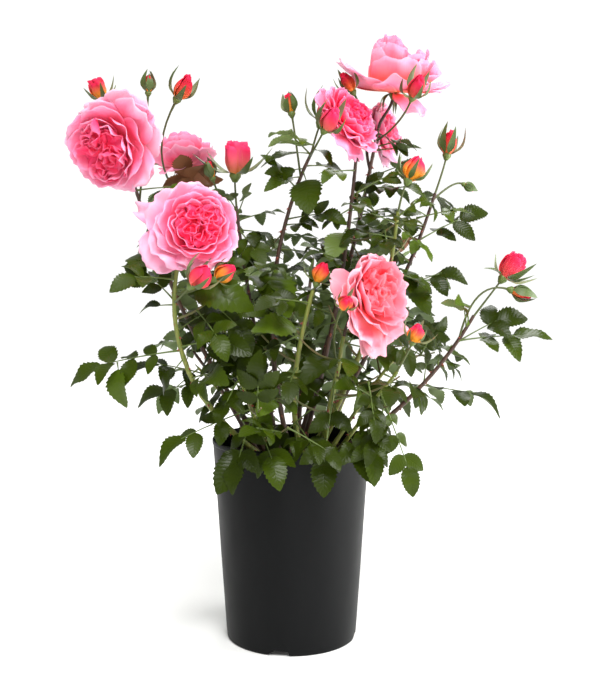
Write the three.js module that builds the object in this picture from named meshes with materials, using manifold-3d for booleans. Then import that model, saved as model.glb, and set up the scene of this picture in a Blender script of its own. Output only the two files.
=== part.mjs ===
// A shrub rose in its black nursery pot: canes from one crown, leafy shoots on them, open blooms and buds.
// Millimetres, +Z up. The origin is the middle of the pot's flat underside, and -Y is the front.
import * as THREE from "three";
import { mergeVertices } from "three/addons/utils/BufferGeometryUtils.js";
import Module from "manifold-3d";

const wasm = await Module();
wasm.setup();

// ---- driving dimensions ----------------------------------------------------------------------------
const POT = {
  height: 243, rimRadius: 94.4, footRadius: 78.5, wall: 2, lip: 0.6, lipHeight: 6, floor: 5,
  sides: 32, footRound: 2.5, lipRise: 1,
};
// Openings for water in the wall's foot: each climbs slowly on one side and steeply on the other.
const NOTCHES = { count: 4, first: -102, halfWidth: 15, rise: 6.5, steep: 0.85, slow: -0.2, below: 1,
  inward: 22, through: 26 };
const COMPOST = { top: 225, sides: 24, rooting: 6 };
const CANE = { sides: 5, rings: 3, flare: 1.4 };
const GAP = 0.3; // what touching solids leave between them
const LIMB_GAP = 1.6; // how far a leaf keeps from any limb but its own stem, and from buds and blooms
const SLEEVE = 15; // the space round a mass's stem that no other mass's leaf comes into

// A pair is [middle, range] where the seeded rule picks a value.
const LEAF = {
  rachisShare: 0.6, // of a leaf's reach, the rest being the leaflet at its tip
  rachisRadius: 1.5, rachisTipRadius: 1.1, firstPair: 0.8, pairStep: 0.38, tipSunk: 0.94,
  leafletShare: 0.4, leafletWidth: 0.68, widest: 0.42, fold: 0.09, thickness: 1.2,
  swing: [1.05, 0.12], tipSwing: [0, 0.15], size: [0.82, 0.05], sizeStep: 0.12,
  outward: 0.8, roll: [0, 0.4], hang: [0.3, 0.3], // how a leaf turns to the light, and how leaflets hang
};
// How leaves stand on a shoot: from just above its bare share, shorter towards its tip.
const GROWTH = { first: 0.06, last: 0.94, reachAtFoot: 1.08, reachLoss: 0.3, reachRange: 0.08,
  rise: [0.45, 0.25], droop: [0.25, 0.15], singlePairFrom: 0.8 };
const CROWN = { halfWidth: 150, halfDepth: 60, middleY: 30 };
const MASS_RINGS = 4;
const STALK = { radius: 1.5, tipRadius: 1.3, sides: 3, rings: 3, lastShare: 0.985 };
const SLIVER = 0.05; // joins leave edges shorter than this, which are taken out again
// An open bloom from its hip to the dent in its middle, as [radius, height] in shares of its radius. The
// outer whorl's edge is the widest ring; the inner whorl stands on it, turned by half a petal.
const BLOOM_PROFILE = [[0, -0.2], [0.09, -0.14], [0.1, -0.02], [0.6, 0.1], [1, 0.28], [0.7, 0.27],
  [0.8, 0.44], [0.54, 0.38], [0.5, 0.5], [0.3, 0.53], [0, 0.42]];
const BLOOM = { sides: 10, petals: 5, lobe: 0.07, innerHeight: 0.34, stalkRadius: 1.9, stalkRings: 4,
  leave: 0.35, arrive: 0.45, sunk: 5, sepal: 0.42, sepalWidth: 0.36, sepalFall: 1.1, sepalSeat: 0.08 };
// A bud on its stalk, from foot to widest to mouth, as [share of its length, share of its length across].
const BUD_SHAPES = {
  tight: [[0, 0.19], [0.4, 0.31], [0.75, 0.22]],
  showing: [[0, 0.16], [0.4, 0.31], [0.75, 0.26]],
  half_open: [[0, 0.16], [0.4, 0.34], [0.88, 0.39]],
};
const BUD = { sides: 5, sunk: 2 };

// Each shoot is one cane: its foot on the compost, the point that pulls its curve, its tip, its radius at
// both ends, and the share of it that stays bare. Above that share it carries a mass with so many leaves.
const SHOOTS = [
  { name: "left_front", foot: [-30, -14], pull: [-150, -95, 322], tip: [-124, -97, 452], radius: [3.4, 2.2],
    bare: 0.42, leaves: 3, reach: 105 },
  { name: "left_high", foot: [-27, 5], pull: [-150, 15, 400], tip: [-184, -28, 556], radius: [3.2, 1.8],
    bare: 0.5, leaves: 3, reach: 95 },
  { name: "left_back", foot: [-17, 19], pull: [-100, 75, 370], tip: [-131, 50, 545], radius: [3.2, 1.8],
    bare: 0.45, leaves: 3, reach: 95 },
  { name: "mid_left", foot: [-13, 3], pull: [-50, 25, 380], tip: [-66, 20, 520], radius: [3, 1.9],
    bare: 0.45, leaves: 3, reach: 95 },
  { name: "centre_high", foot: [0, -11], pull: [-55, -5, 430], tip: [26, -12, 585], radius: [3.3, 1.9],
    bare: 0.5, leaves: 3, reach: 95 },
  { name: "top", foot: [5, 20], pull: [70, 38, 430], tip: [104, 20, 612], radius: [3.4, 1.9],
    bare: 0.45, leaves: 3, reach: 90 },
  { name: "centre_top", foot: [10, 3], pull: [62, -22, 400], tip: [76, -24, 582], radius: [3.2, 1.9],
    bare: 0.48, leaves: 3, reach: 90 },
  { name: "right_high", foot: [24, 10], pull: [128, 5, 400], tip: [170, -2, 535], radius: [3.2, 1.8],
    bare: 0.42, leaves: 3, reach: 95 },
  { name: "right_mid", foot: [23, -8], pull: [115, -52, 400], tip: [121, -60, 512], radius: [3, 1.8],
    bare: 0.45, leaves: 3, reach: 85 },
  { name: "right_far", foot: [36, -12], pull: [145, -35, 275], tip: [214, -25, 392], radius: [3.4, 2],
    bare: 0.5, leaves: 3, reach: 100 },
  { name: "front_centre", foot: [16, -36], pull: [-12, -72, 300], tip: [25, -90, 425], radius: [3.6, 2.2],
    bare: 0.4, leaves: 4, reach: 100 },
  { name: "front_right", foot: [35, -28], pull: [48, -66, 310], tip: [60, -74, 372], radius: [3.4, 2.2],
    bare: 0.4, leaves: 4, reach: 100 },
  { name: "back_left", foot: [-10, 31], pull: [-70, 110, 340], tip: [-90, 165, 440], radius: [3.2, 1.8],
    bare: 0.4, leaves: 3, reach: 105 },
  { name: "back_middle", foot: [8, 36], pull: [15, 130, 350], tip: [30, 185, 465], radius: [3.2, 1.8],
    bare: 0.4, leaves: 3, reach: 105 },
  { name: "back_right", foot: [24, 27], pull: [95, 95, 340], tip: [135, 135, 455], radius: [3.2, 1.8],
    bare: 0.4, leaves: 3, reach: 105 },
  { name: "low_left", foot: [-37, -2], pull: [-80, -2, 300], tip: [-120, 5, 350], radius: [2.8, 1.6],
    bare: 0.35, leaves: 3, reach: 110 },
  { name: "low_front_left", foot: [-22, -32], pull: [-45, -60, 290], tip: [-60, -95, 330], radius: [2.8, 1.6],
    bare: 0.35, leaves: 4, reach: 100 },
  { name: "low_front_right", foot: [47, -30], pull: [85, -70, 285], tip: [118, -100, 335], radius: [2.8, 1.6],
    bare: 0.35, leaves: 3, reach: 100 },
  { name: "low_right", foot: [43, 4], pull: [95, 30, 300], tip: [145, 40, 355], radius: [2.8, 1.6],
    bare: 0.35, leaves: 3, reach: 110 },
  { name: "low_back_left", foot: [-26, 27], pull: [-80, 70, 280], tip: [-125, 100, 320], radius: [2.8, 1.6],
    bare: 0.35, leaves: 3, reach: 110 },
  { name: "low_back_right", foot: [36, 33], pull: [70, 100, 280], tip: [90, 150, 320], radius: [2.8, 1.6],
    bare: 0.35, leaves: 3, reach: 110 },
];

// The leaves that make the crown's furthest tips: the shoot, the share along it, and the point they reach.
const REACHES = [
  { shoot: "left_front", at: 0.62, to: [-253, -75, 318], pairs: 3 },
  { shoot: "low_left", at: 0.7, to: [-190, -60, 330], pairs: 2 },
  { shoot: "low_front_left", at: 0.55, to: [-150, -112, 236], pairs: 2 },
  { shoot: "low_front_left", at: 0.5, to: [-66, -132, 205], pairs: 2 },
  { shoot: "front_right", at: 0.62, to: [36, -143, 204], pairs: 2 },
  { shoot: "low_front_right", at: 0.5, to: [93, -130, 215], pairs: 2 },
  { shoot: "low_front_right", at: 0.75, to: [146, -112, 196], pairs: 3 },
  { shoot: "right_far", at: 0.87, to: [305, -34, 370], pairs: 2 },
  { shoot: "low_right", at: 0.6, to: [255, -12, 275], pairs: 3 },
  { shoot: "centre_high", at: 0.86, to: [-34, -20, 580], pairs: 2 },
  { shoot: "centre_high", at: 0.92, to: [20, -70, 512], pairs: 1 },
  { shoot: "top", at: 0.84, to: [158, -10, 566], pairs: 1 },
  { shoot: "mid_left", at: 0.9, to: [-30, -30, 452], pairs: 2 },
  { shoot: "right_high", at: 0.8, to: [238, 22, 517], pairs: 2 },
  { shoot: "right_high", at: 0.6, to: [215, 12, 432], pairs: 2 },
  { shoot: "left_front", at: 0.85, to: [-190, -62, 452], pairs: 2 },
  { shoot: "back_middle", at: 0.9, to: [20, 275, 440], pairs: 3 },
  { shoot: "back_left", at: 0.85, to: [-160, 225, 400], pairs: 3 },
  { shoot: "back_right", at: 0.85, to: [215, 200, 420], pairs: 3 },
];

// Open blooms: the shoot and the share along it where the stalk leaves, the middle of the bloom's face, where
// it faces, its radius, and how deep it is beside a flat one.
const BLOOMS = [
  { name: "bloom_left", shoot: "left_high", at: 1, face: [-203, -62, 587], toward: [-0.25, -0.93, -0.2],
    radius: 57, depth: 1 },
  { name: "bloom_front_left", shoot: "left_front", at: 1, face: [-109, -124, 495],
    toward: [0.22, -0.93, 0.28], radius: 55, depth: 1 },
  { name: "bloom_back_left", shoot: "left_back", at: 1, face: [-134, 66, 590], toward: [-0.35, 0.5, 0.75],
    radius: 40, depth: 1.3 },
  { name: "bloom_top", shoot: "top", at: 1, face: [125, 17, 709], toward: [0.2, -0.12, 0.97],
    radius: 58, depth: 1.9 },
  { name: "bloom_centre", shoot: "centre_top", at: 1, face: [71, -36, 620], toward: [0.35, -0.5, 0.8],
    radius: 38, depth: 1.2 },
  { name: "bloom_behind", shoot: "top", at: 0.86, face: [120, 64, 606], toward: [0.5, 0.45, 0.7],
    radius: 38, depth: 1.1 },
  { name: "bloom_front_right", shoot: "front_right", at: 1, face: [97, -106, 412], toward: [0.6, -0.77, 0.18],
    radius: 57, depth: 1.1 },
];

// Buds: the shoot and the share along it where the stalk leaves, the middle of the bud, length and shape.
const BUDS = [
  { shoot: "left_high", at: 0.95, to: [-229, 6, 657], length: 24, shape: "showing", bow: [0, 26, -10] },
  { shoot: "left_high", at: 0.9, to: [-168, 10, 665], length: 28, shape: "tight", bow: [0, 14, 6] },
  { shoot: "left_back", at: 0.93, to: [-124, -20, 658], length: 34, shape: "showing", bow: [-34, -2, -8] },
  { shoot: "mid_left", at: 1, to: [-65, 20, 581], length: 46, shape: "half_open", bow: [-2, 0, 0] },
  { shoot: "mid_left", at: 0.94, to: [-96, 8, 562], length: 24, shape: "tight", bow: [-6, 0, -6] },
  { shoot: "centre_high", at: 1, to: [34, -5, 628], length: 40, shape: "showing", bow: [-3, 0, -4] },
  { shoot: "centre_high", at: 0.97, to: [43, -84, 611], length: 34, shape: "showing", bow: [-6, -10, -12] },
  { shoot: "centre_high", at: 0.9, to: [-1, -2, 638], length: 28, shape: "tight", bow: [0, 0, 4] },
  { shoot: "top", at: 0.96, to: [138, -52, 648], length: 36, shape: "showing", bow: [6, -4, -12] },
  { shoot: "top", at: 0.92, to: [54, 2, 667], length: 26, shape: "showing", bow: [6, 0, 6] },
  { shoot: "right_high", at: 1, to: [186, 0, 592], length: 36, shape: "showing", bow: [2, 0, 0] },
  { shoot: "right_high", at: 0.97, to: [211, 10, 543], length: 17, shape: "tight", bow: [4, 4, 16] },
  { shoot: "right_mid", at: 1, to: [138, -60, 559], length: 34, shape: "showing", bow: [-4, 0, 0] },
  { shoot: "right_far", at: 1, to: [257, -20, 450], length: 40, shape: "half_open", bow: [0, 0, 0] },
  { shoot: "right_far", at: 0.96, to: [266, -34, 419], length: 28, shape: "tight", bow: [-6, -2, 36] },
  { shoot: "front_centre", at: 1, to: [33, -92, 443], length: 28, shape: "showing", bow: [0, 0, 0] },
  { shoot: "front_right", at: 0.72, to: [58, -163, 415], length: 22, shape: "showing", bow: [-14, -10, 6] },
  { shoot: "left_front", at: 0.84, to: [-97, -136, 441], length: 30, shape: "showing", bow: [-6, -12, -8] },
  { shoot: "left_front", at: 0.88, to: [-72, -112, 444], length: 28, shape: "showing", bow: [-4, -6, -10] },
  { shoot: "low_front_right", at: 1, to: [137, -112, 378], length: 26, shape: "showing", bow: [2, 0, 0] },
];

// ---- the seeded rule -------------------------------------------------------------------------------
// The same whole numbers always give the same number from 0 to 1.
function chance(...keys) {
  let h = 2166136261;
  for (const key of keys) {
    h = Math.imul(h ^ key, 16777619);
    h ^= h >>> 15;
    h = Math.imul(h, 2246822519);
    h ^= h >>> 13;
  }
  return (h >>> 0) / 4294967296;
}

const spread = (middle, range, ...keys) => middle + range * (2 * chance(...keys) - 1);
const V = (p) => new THREE.Vector3(...p);
const UP = new THREE.Vector3(0, 0, 1);
const radians = THREE.MathUtils.degToRad;
const UPRIGHT = { seat: new THREE.Vector3(), toward: UP };
const GOLDEN_ANGLE = radians(137.5);
const TRIES = 12; // angles that a leaf tries before it is skipped
const AIM_PASSES = 5;
const REACH_KEY = 900;
const TIP_KEY = 30;
const PAIR_KEY = 10;

// Where the rule looks: steps along each curve, shares along a leaflet, and the room that it asks for.
const PROBES = { spine: 10, spineStart: 0.08, rachis: 12, leaflet: [0.2, 0.72], cane: 60, bloomStalk: 40,
  budStalk: 20, head: 3 };
const BEADS = { leaflet: 0.1, bloomStalk: 2.2, bloomHead: 0.55, bloomHip: 0.15, petalRing: 0.85,
  petalRise: 0.25, petal: 0.24, bud: 0.3 };
const POT_ROOM = { above: 2, outside: 3, inside: 12, overCompost: 3 };

function caneCurve({ foot, pull, tip }) {
  return new THREE.QuadraticBezierCurve3(V([...foot, COMPOST.top - COMPOST.rooting]), V(pull), V(tip));
}

// A unit vector square to the tangent, turned round it by an angle from the level side.
function squareTo(tangent, angle) {
  const level = Math.abs(tangent.z) > 0.9 ? new THREE.Vector3(1, 0, 0) : UP;
  const first = level.clone().cross(tangent).normalize();
  return first.applyAxisAngle(tangent, angle);
}

// Leaves turn their upper sides up and outward from the middle of the crown.
function faceUp({ x, y }) {
  const outward = new THREE.Vector3(x / CROWN.halfWidth, (y - CROWN.middleY) / CROWN.halfDepth, 0);
  return outward.setLength(LEAF.outward).add(UP).normalize();
}

// A compound leaf: a straight rachis that hangs a little, pairs of leaflets along it and one at its tip.
function compoundLeaf(base, direction, reach, pairs, droop, keys) {
  const length = reach * LEAF.rachisShare;
  const end = base.clone().addScaledVector(direction, length).addScaledVector(UP, -droop * length);
  const rachis = new THREE.LineCurve3(base, end);
  const along = rachis.getTangent(0);
  const across = along.clone().cross(faceUp(base)).normalize();
  const leaflets = [];
  const add = (t, swing, size, key) => {
    const face = across.clone().cross(along).applyAxisAngle(along, spread(...LEAF.roll, ...keys, key, 1));
    const axis = along.clone().applyAxisAngle(face, swing);
    axis.addScaledVector(UP, -spread(...LEAF.hang, ...keys, key, 2)).normalize();
    const normal = face.addScaledVector(axis, -face.dot(axis)).normalize();
    leaflets.push({ base: rachis.getPoint(t), axis, normal, length: size * reach * LEAF.leafletShare,
      width: LEAF.leafletWidth });
  };
  for (let pair = 0; pair < pairs; pair++) {
    const t = LEAF.firstPair - (pair * LEAF.pairStep * 2) / Math.max(2, pairs);
    for (const side of [-1, 1]) {
      const swing = side * spread(...LEAF.swing, ...keys, pair, side + 5);
      const size = spread(...LEAF.size, ...keys, pair, side + 8) - pair * LEAF.sizeStep;
      add(t, swing, size, PAIR_KEY + 2 * pair + side);
    }
  }
  add(LEAF.tipSunk, spread(...LEAF.tipSwing, ...keys, 3), 1, TIP_KEY);
  return { rachis, leaflets };
}

// A leaf whose tip lands on a point: each pass aims off by what the last one missed.
function reachingLeaf(base, to, pairs, keys) {
  const target = V(to);
  const aim = target.clone();
  let leaf;
  for (let pass = 0; pass < AIM_PASSES; pass++) {
    const way = aim.clone().sub(base);
    leaf = compoundLeaf(base, way.clone().normalize(), way.length(), pairs, 0, keys);
    const { base: root, axis, length } = leaf.leaflets.at(-1);
    aim.add(target).sub(root).addScaledVector(axis, -length);
  }
  return leaf;
}

// Points spread over a leaflet: down its middle, at its sides and at its tip.
function leafletPoints({ base, axis, normal, length, width }) {
  const side = axis.clone().cross(normal);
  const at = (along, across, lift) =>
    base.clone().addScaledVector(axis, along * length).addScaledVector(side, across * length)
      .addScaledVector(normal, lift * length);
  const half = width / 2;
  const [near, far] = PROBES.leaflet;
  return [at(near, 0, 0), at(LEAF.widest, 0, 0), at(far, 0, -0.5 * LEAF.fold), at(1, 0, -LEAF.fold),
    at(LEAF.widest, half, LEAF.fold), at(LEAF.widest, -half, LEAF.fold)];
}

// Outside the pot's wall, or inside it and above the compost.
function clearOfPot(p) {
  const out = Math.hypot(p.x, p.y);
  const wall = POT.footRadius + ((POT.rimRadius - POT.footRadius) * p.z) / POT.height + POT.lip;
  return p.z > POT.height + POT_ROOM.above || out > wall + POT_ROOM.outside ||
    (out < wall - POT_ROOM.inside && p.z > COMPOST.top + POT_ROOM.overCompost);
}

const shoots = SHOOTS.map((spec, index) => {
  const curve = caneCurve(spec);
  const spine = [];
  for (let i = 0; i <= PROBES.spine; i++) {
    spine.push(curve.getPoint(THREE.MathUtils.lerp(spec.bare + PROBES.spineStart, 1, i / PROBES.spine)));
  }
  const radiusAt = (t) => THREE.MathUtils.lerp(...spec.radius, t);
  return { ...spec, index, curve, spine, radiusAt, twigs: [], leaflets: [], buds: [] };
});
const shootOf = (name) => shoots.find((s) => s.name === name);

// A leaf keeps out of the sleeve round every other mass's stem.
const insideSpace = (p, shoot) =>
  shoots.every((other) => other === shoot || other.spine.every((q) => p.distanceTo(q) > SLEEVE));

// Beads along every limb, bloom and leaflet. A leaf keeps clear of all but those of its own stem.
const beads = [];
function addBeads(curve, radius, owner, steps) {
  for (let i = 0; i <= steps; i++) beads.push({ point: curve.getPoint(i / steps), radius, owner });
}

function touches(leaflet, { point, radius }) {
  const away = point.clone().sub(leaflet.base);
  const room = radius + LIMB_GAP;
  const along = away.dot(leaflet.axis);
  if (along < 0.08 * leaflet.length - room || along > leaflet.length + room) return false;
  const across = Math.abs(away.dot(leaflet.axis.clone().cross(leaflet.normal)));
  const lift = Math.abs(away.dot(leaflet.normal));
  return across < (leaflet.width / 2) * leaflet.length + room &&
    lift < room + 0.5 * LEAF.fold * leaflet.length;
}

function leafFits(leaf, shoot) {
  const points = leaf.leaflets.flatMap(leafletPoints);
  for (let i = 1; i <= PROBES.rachis; i++) points.push(leaf.rachis.getPoint(i / PROBES.rachis));
  if (!points.every((p) => clearOfPot(p) && insideSpace(p, shoot))) return false;
  return beads.every((bead) => bead.owner === shoot.name ||
    (!leaf.leaflets.some((l) => touches(l, bead)) &&
      points.every((p) => p.distanceTo(bead.point) > bead.radius + LIMB_GAP)));
}

function addLeaf(shoot, { rachis, leaflets }) {
  shoot.twigs.push(rachis);
  shoot.leaflets.push(...leaflets);
  for (const leaflet of leaflets) {
    for (const point of leafletPoints(leaflet)) {
      beads.push({ point, radius: BEADS.leaflet * leaflet.length, owner: "leaf" });
    }
  }
}

// Stalks of blooms and buds come before the leaves, so that the leaves keep clear of them.
const blooms = BLOOMS.map((spec) => {
  const shoot = shootOf(spec.shoot);
  const toward = V(spec.toward).normalize();
  const face = V(spec.face);
  const seat = face.clone().addScaledVector(toward, -0.5 * spec.depth * spec.radius);
  const start = shoot.curve.getPoint(spec.at);
  const away = shoot.curve.getTangent(spec.at);
  if (spec.at < 1) {
    const way = seat.clone().sub(start);
    away.copy(way.addScaledVector(away, -way.dot(away)).normalize());
    start.addScaledVector(away, shoot.radiusAt(spec.at));
  }
  start.addScaledVector(away, GAP);
  const span = seat.distanceTo(start);
  const leave = start.clone().addScaledVector(away, BLOOM.leave * span);
  const arrive = seat.clone().addScaledVector(toward, -BLOOM.arrive * span);
  const foot = seat.clone().addScaledVector(toward, -BLOOM.sunk);
  const stalk = new THREE.CubicBezierCurve3(start, leave, arrive, foot);
  addBeads(stalk, BEADS.bloomStalk, spec.name, PROBES.bloomStalk);
  const hip = seat.clone().addScaledVector(toward, -BEADS.bloomHip * spec.radius);
  addBeads(new THREE.LineCurve3(hip, face), BEADS.bloomHead * spec.radius, spec.name, PROBES.head);
  const ring = seat.clone().addScaledVector(toward, BEADS.petalRise * spec.depth * spec.radius);
  for (let k = 0; k < BLOOM.sides; k++) {
    const out = squareTo(toward, (k * Math.PI * 2) / BLOOM.sides);
    const point = ring.clone().addScaledVector(out, BEADS.petalRing * spec.radius);
    beads.push({ point, radius: BEADS.petal * spec.radius, owner: spec.name });
  }
  return { ...spec, toward, seat, stalk };
});

for (const shoot of shoots) addBeads(shoot.curve, shoot.radius[0], shoot.name, PROBES.cane);
for (const spec of BUDS) {
  const shoot = shootOf(spec.shoot);
  const start = shoot.curve.getPoint(Math.min(spec.at, STALK.lastShare));
  const middle = V(spec.to);
  const pull = start.clone().lerp(middle, 0.5).add(V(spec.bow));
  const toward = middle.clone().sub(pull).normalize();
  const foot = middle.clone().addScaledVector(toward, -spec.length / 2);
  const stalk = new THREE.QuadraticBezierCurve3(start, pull, foot);
  addBeads(stalk, STALK.radius, "bud", PROBES.budStalk);
  addBeads(new THREE.LineCurve3(foot, middle), BEADS.bud * spec.length, "bud", PROBES.head);
  shoot.buds.push({ ...spec, stalk, foot, toward });
}

// The leaves that reach the crown's tips come first, then the others up each shoot by the golden angle.
REACHES.forEach(({ shoot: name, at, to, pairs }, i) => {
  const shoot = shootOf(name);
  addLeaf(shoot, reachingLeaf(shoot.curve.getPoint(at), to, pairs, [REACH_KEY + i]));
});

for (const shoot of shoots) {
  for (let i = 0; i < shoot.leaves; i++) {
    const t = THREE.MathUtils.lerp(shoot.bare + GROWTH.first, GROWTH.last, i / (shoot.leaves - 1));
    const base = shoot.curve.getPoint(t);
    const tangent = shoot.curve.getTangent(t);
    const keys = [shoot.index + 1, i + 1];
    const reachHere = GROWTH.reachAtFoot - GROWTH.reachLoss * t;
    const reach = shoot.reach * spread(reachHere, GROWTH.reachRange, ...keys, 1);
    for (let attempt = 0; attempt < TRIES; attempt++) {
      const angle = i * GOLDEN_ANGLE + shoot.index + (attempt * Math.PI * 2) / TRIES;
      const direction = squareTo(tangent, angle);
      direction.addScaledVector(tangent, spread(...GROWTH.rise, ...keys, attempt, 2)).normalize();
      const droop = spread(...GROWTH.droop, ...keys, attempt, 3);
      const pairs = t < GROWTH.singlePairFrom && attempt < TRIES / 2 ? 2 : 1;
      const leaf = compoundLeaf(base, direction, reach, pairs, droop, [...keys, attempt]);
      if (!leafFits(leaf, shoot)) continue;
      addLeaf(shoot, leaf);
      break;
    }
  }
}

// ---- solids ----------------------------------------------------------------------------------------
// Gives a geometry class's vertices new places, and makes it a solid.
function solidFrom(geometry, place) {
  const position = geometry.getAttribute("position");
  const p = new THREE.Vector3();
  for (let i = 0; i < position.count; i++) {
    const moved = place(p.fromBufferAttribute(position, i));
    position.setXYZ(i, moved.x, moved.y, moved.z);
  }
  geometry.deleteAttribute("normal");
  geometry.deleteAttribute("uv");
  const merged = mergeVertices(geometry, 1e-3);
  return new wasm.Manifold(new wasm.Mesh({
    numProp: 3,
    vertProperties: new Float32Array(merged.getAttribute("position").array),
    triVerts: new Uint32Array(merged.index.array),
  }));
}

// A tapering limb round the stretch of a curve from one share to another.
function limb(curve, [from, to], [startRadius, endRadius], sides, rings) {
  const tangentAt = (t) => curve.getTangent(Math.min(1, Math.max(0, t)));
  const chord = curve.getPoint(to).sub(curve.getPoint(from)).normalize();
  const reference = Math.abs(chord.x) < 0.6 ? new THREE.Vector3(1, 0, 0) : new THREE.Vector3(0, 1, 0);
  return solidFrom(new THREE.CylinderGeometry(1, 1, 1, sides, rings), (p) => {
    const share = p.y + 0.5;
    const t = THREE.MathUtils.lerp(from, to, share);
    const radius = THREE.MathUtils.lerp(startRadius, endRadius, share);
    const tangent = tangentAt(t);
    const side = reference.clone().addScaledVector(tangent, -reference.dot(tangent)).normalize();
    const lift = side.clone().cross(tangent);
    return curve.getPoint(t).addScaledVector(side, p.x * radius).addScaledVector(lift, p.z * radius);
  });
}

// A leaflet of eight faces, thickest along its midrib, its root on the middle of the rachis.
function leafletSolid({ base, axis, normal, length, width }) {
  const side = axis.clone().cross(normal);
  return solidFrom(new THREE.OctahedronGeometry(1), (p) => {
    const along = p.y > 0.5 ? 1 : p.y < -0.5 ? 0 : LEAF.widest;
    const lift = p.y > 0.5 ? -LEAF.fold : Math.abs(p.x) > 0.5 ? LEAF.fold : 0;
    return base.clone().addScaledVector(axis, along * length)
      .addScaledVector(side, (p.x * width * length) / 2)
      .addScaledVector(normal, lift * length + (p.z * LEAF.thickness) / 2);
  });
}

// A turned shape: a profile of [radius, height] from axis to axis, stood on its seat and leant a given way.
function turned(profile, sides, { seat, toward }, shape = (p) => p) {
  const lean = new THREE.Quaternion().setFromUnitVectors(new THREE.Vector3(0, 1, 0), toward);
  const points = profile.map(([r, h]) => new THREE.Vector2(r, h));
  const place = (p) => shape(p).clone().applyQuaternion(lean).add(seat);
  return solidFrom(new THREE.LatheGeometry(points, sides), place);
}

function budSolid({ foot, toward, length, shape }) {
  const rings = BUD_SHAPES[shape].map(([h, r]) => [r * length, h * length]);
  return turned([[0, -BUD.sunk], ...rings, [0, length]], BUD.sides, { seat: foot, toward });
}

// Joins overlapping solids into one body, without the slivers that joining leaves and without loose scraps.
function joined(parts) {
  const whole = wasm.Manifold.union(parts).simplify(SLIVER);
  return whole.decompose().sort((a, b) => b.volume() - a.volume())[0];
}

function bloomSolid(bloom) {
  const R = bloom.radius;
  const profile = BLOOM_PROFILE.map(([r, h]) => [r * R, h * R * (h > 0 ? bloom.depth : 1)]);
  const head = turned(profile, BLOOM.sides, bloom, (p) => {
    const phase = p.y > BLOOM.innerHeight * bloom.depth * R ? Math.PI : 0;
    const spreadOut = Math.hypot(p.x, p.z) / R;
    const swell = 1 + BLOOM.lobe * spreadOut * Math.cos(BLOOM.petals * Math.atan2(p.z, p.x) + phase);
    return p.set(p.x * swell, p.y, p.z * swell);
  });
  const radii = [BLOOM.stalkRadius, BLOOM.stalkRadius];
  const parts = [limb(bloom.stalk, [0, 1], radii, CANE.sides, BLOOM.stalkRings), head];
  for (let k = 0; k < BLOOM.petals; k++) {
    const angle = (k * Math.PI * 2) / BLOOM.petals;
    const axis = squareTo(bloom.toward, angle);
    axis.addScaledVector(bloom.toward, -BLOOM.sepalFall).normalize();
    const normal = bloom.toward.clone().addScaledVector(axis, -bloom.toward.dot(axis)).normalize();
    const base = bloom.seat.clone().addScaledVector(bloom.toward, -BLOOM.sepalSeat * R);
    parts.push(leafletSolid({ base, axis, normal, length: BLOOM.sepal * R, width: BLOOM.sepalWidth }));
  }
  return joined(parts);
}

function massSolid(shoot) {
  const from = shoot.bare + GAP / shoot.curve.getPoint(0).distanceTo(shoot.curve.getPoint(1));
  const radii = [shoot.radiusAt(from), shoot.radiusAt(1)];
  const parts = [limb(shoot.curve, [from, 1], radii, CANE.sides, MASS_RINGS)];
  for (const twig of shoot.twigs) {
    parts.push(limb(twig, [0, 1], [LEAF.rachisRadius, LEAF.rachisTipRadius], 3, 1));
  }
  for (const bud of shoot.buds) {
    const stalk = limb(bud.stalk, [0, 1], [STALK.radius, STALK.tipRadius], STALK.sides, STALK.rings);
    parts.push(stalk, budSolid(bud));
  }
  parts.push(...shoot.leaflets.map(leafletSolid));
  return joined(parts);
}

function caneSolid(shoot) {
  const radii = [CANE.flare * shoot.radiusAt(0), shoot.radiusAt(shoot.bare)];
  return limb(shoot.curve, [0, shoot.bare], radii, CANE.sides, CANE.rings)
    .trimByPlane([0, 0, 1], COMPOST.top + GAP);
}

function potSolid() {
  const { height, rimRadius, footRadius, wall, lip, lipHeight, lipRise, floor, footRound } = POT;
  const slope = (rimRadius - footRadius) / height;
  const outer = (z) => footRadius + slope * z;
  const lipFoot = height - lipHeight;
  const profile = [
    [0, 0],
    [footRadius - footRound, 0],
    [footRadius - 0.3 * footRound, 0.3 * footRound],
    [outer(footRound), footRound],
    [outer(lipFoot), lipFoot],
    [outer(lipFoot) + lip, lipFoot + lipRise],
    [rimRadius + lip, height],
    [rimRadius - wall, height],
    [footRadius - wall, floor],
    [0, floor],
  ];
  let pot = turned(profile, POT.sides, UPRIGHT);
  for (let k = 0; k < NOTCHES.count; k++) {
    pot = pot.subtract(notchSolid(radians(NOTCHES.first + (360 * k) / NOTCHES.count)));
  }
  return pot;
}

function notchSolid(angle) {
  const { halfWidth, rise, steep, slow, below, inward, through } = NOTCHES;
  const outline = new THREE.Shape([
    new THREE.Vector2(-halfWidth, -below),
    new THREE.Vector2(halfWidth, -below),
    new THREE.Vector2(steep * halfWidth, rise),
    new THREE.Vector2(slow * halfWidth, rise),
  ]);
  const across = new THREE.Vector3(-Math.sin(angle), Math.cos(angle), 0);
  const out = new THREE.Vector3(Math.cos(angle), Math.sin(angle), 0);
  const block = new THREE.ExtrudeGeometry(outline, { depth: through, bevelEnabled: false });
  return solidFrom(block, (p) =>
    new THREE.Vector3(0, 0, p.y).addScaledVector(across, p.x)
      .addScaledVector(out, POT.footRadius - inward + p.z));
}

// The compost fills the pot to just under its rim, clear of the wall and the floor.
function compostSolid() {
  const { height, rimRadius, footRadius, wall, floor } = POT;
  const slope = (rimRadius - footRadius) / (height - floor);
  const inner = (z) => footRadius - wall + slope * (z - floor) - 2 * GAP;
  const { top, sides } = COMPOST;
  const bottom = floor + GAP;
  return turned([[0, bottom], [inner(bottom), bottom], [inner(top), top], [0, top]], sides, UPRIGHT);
}

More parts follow.
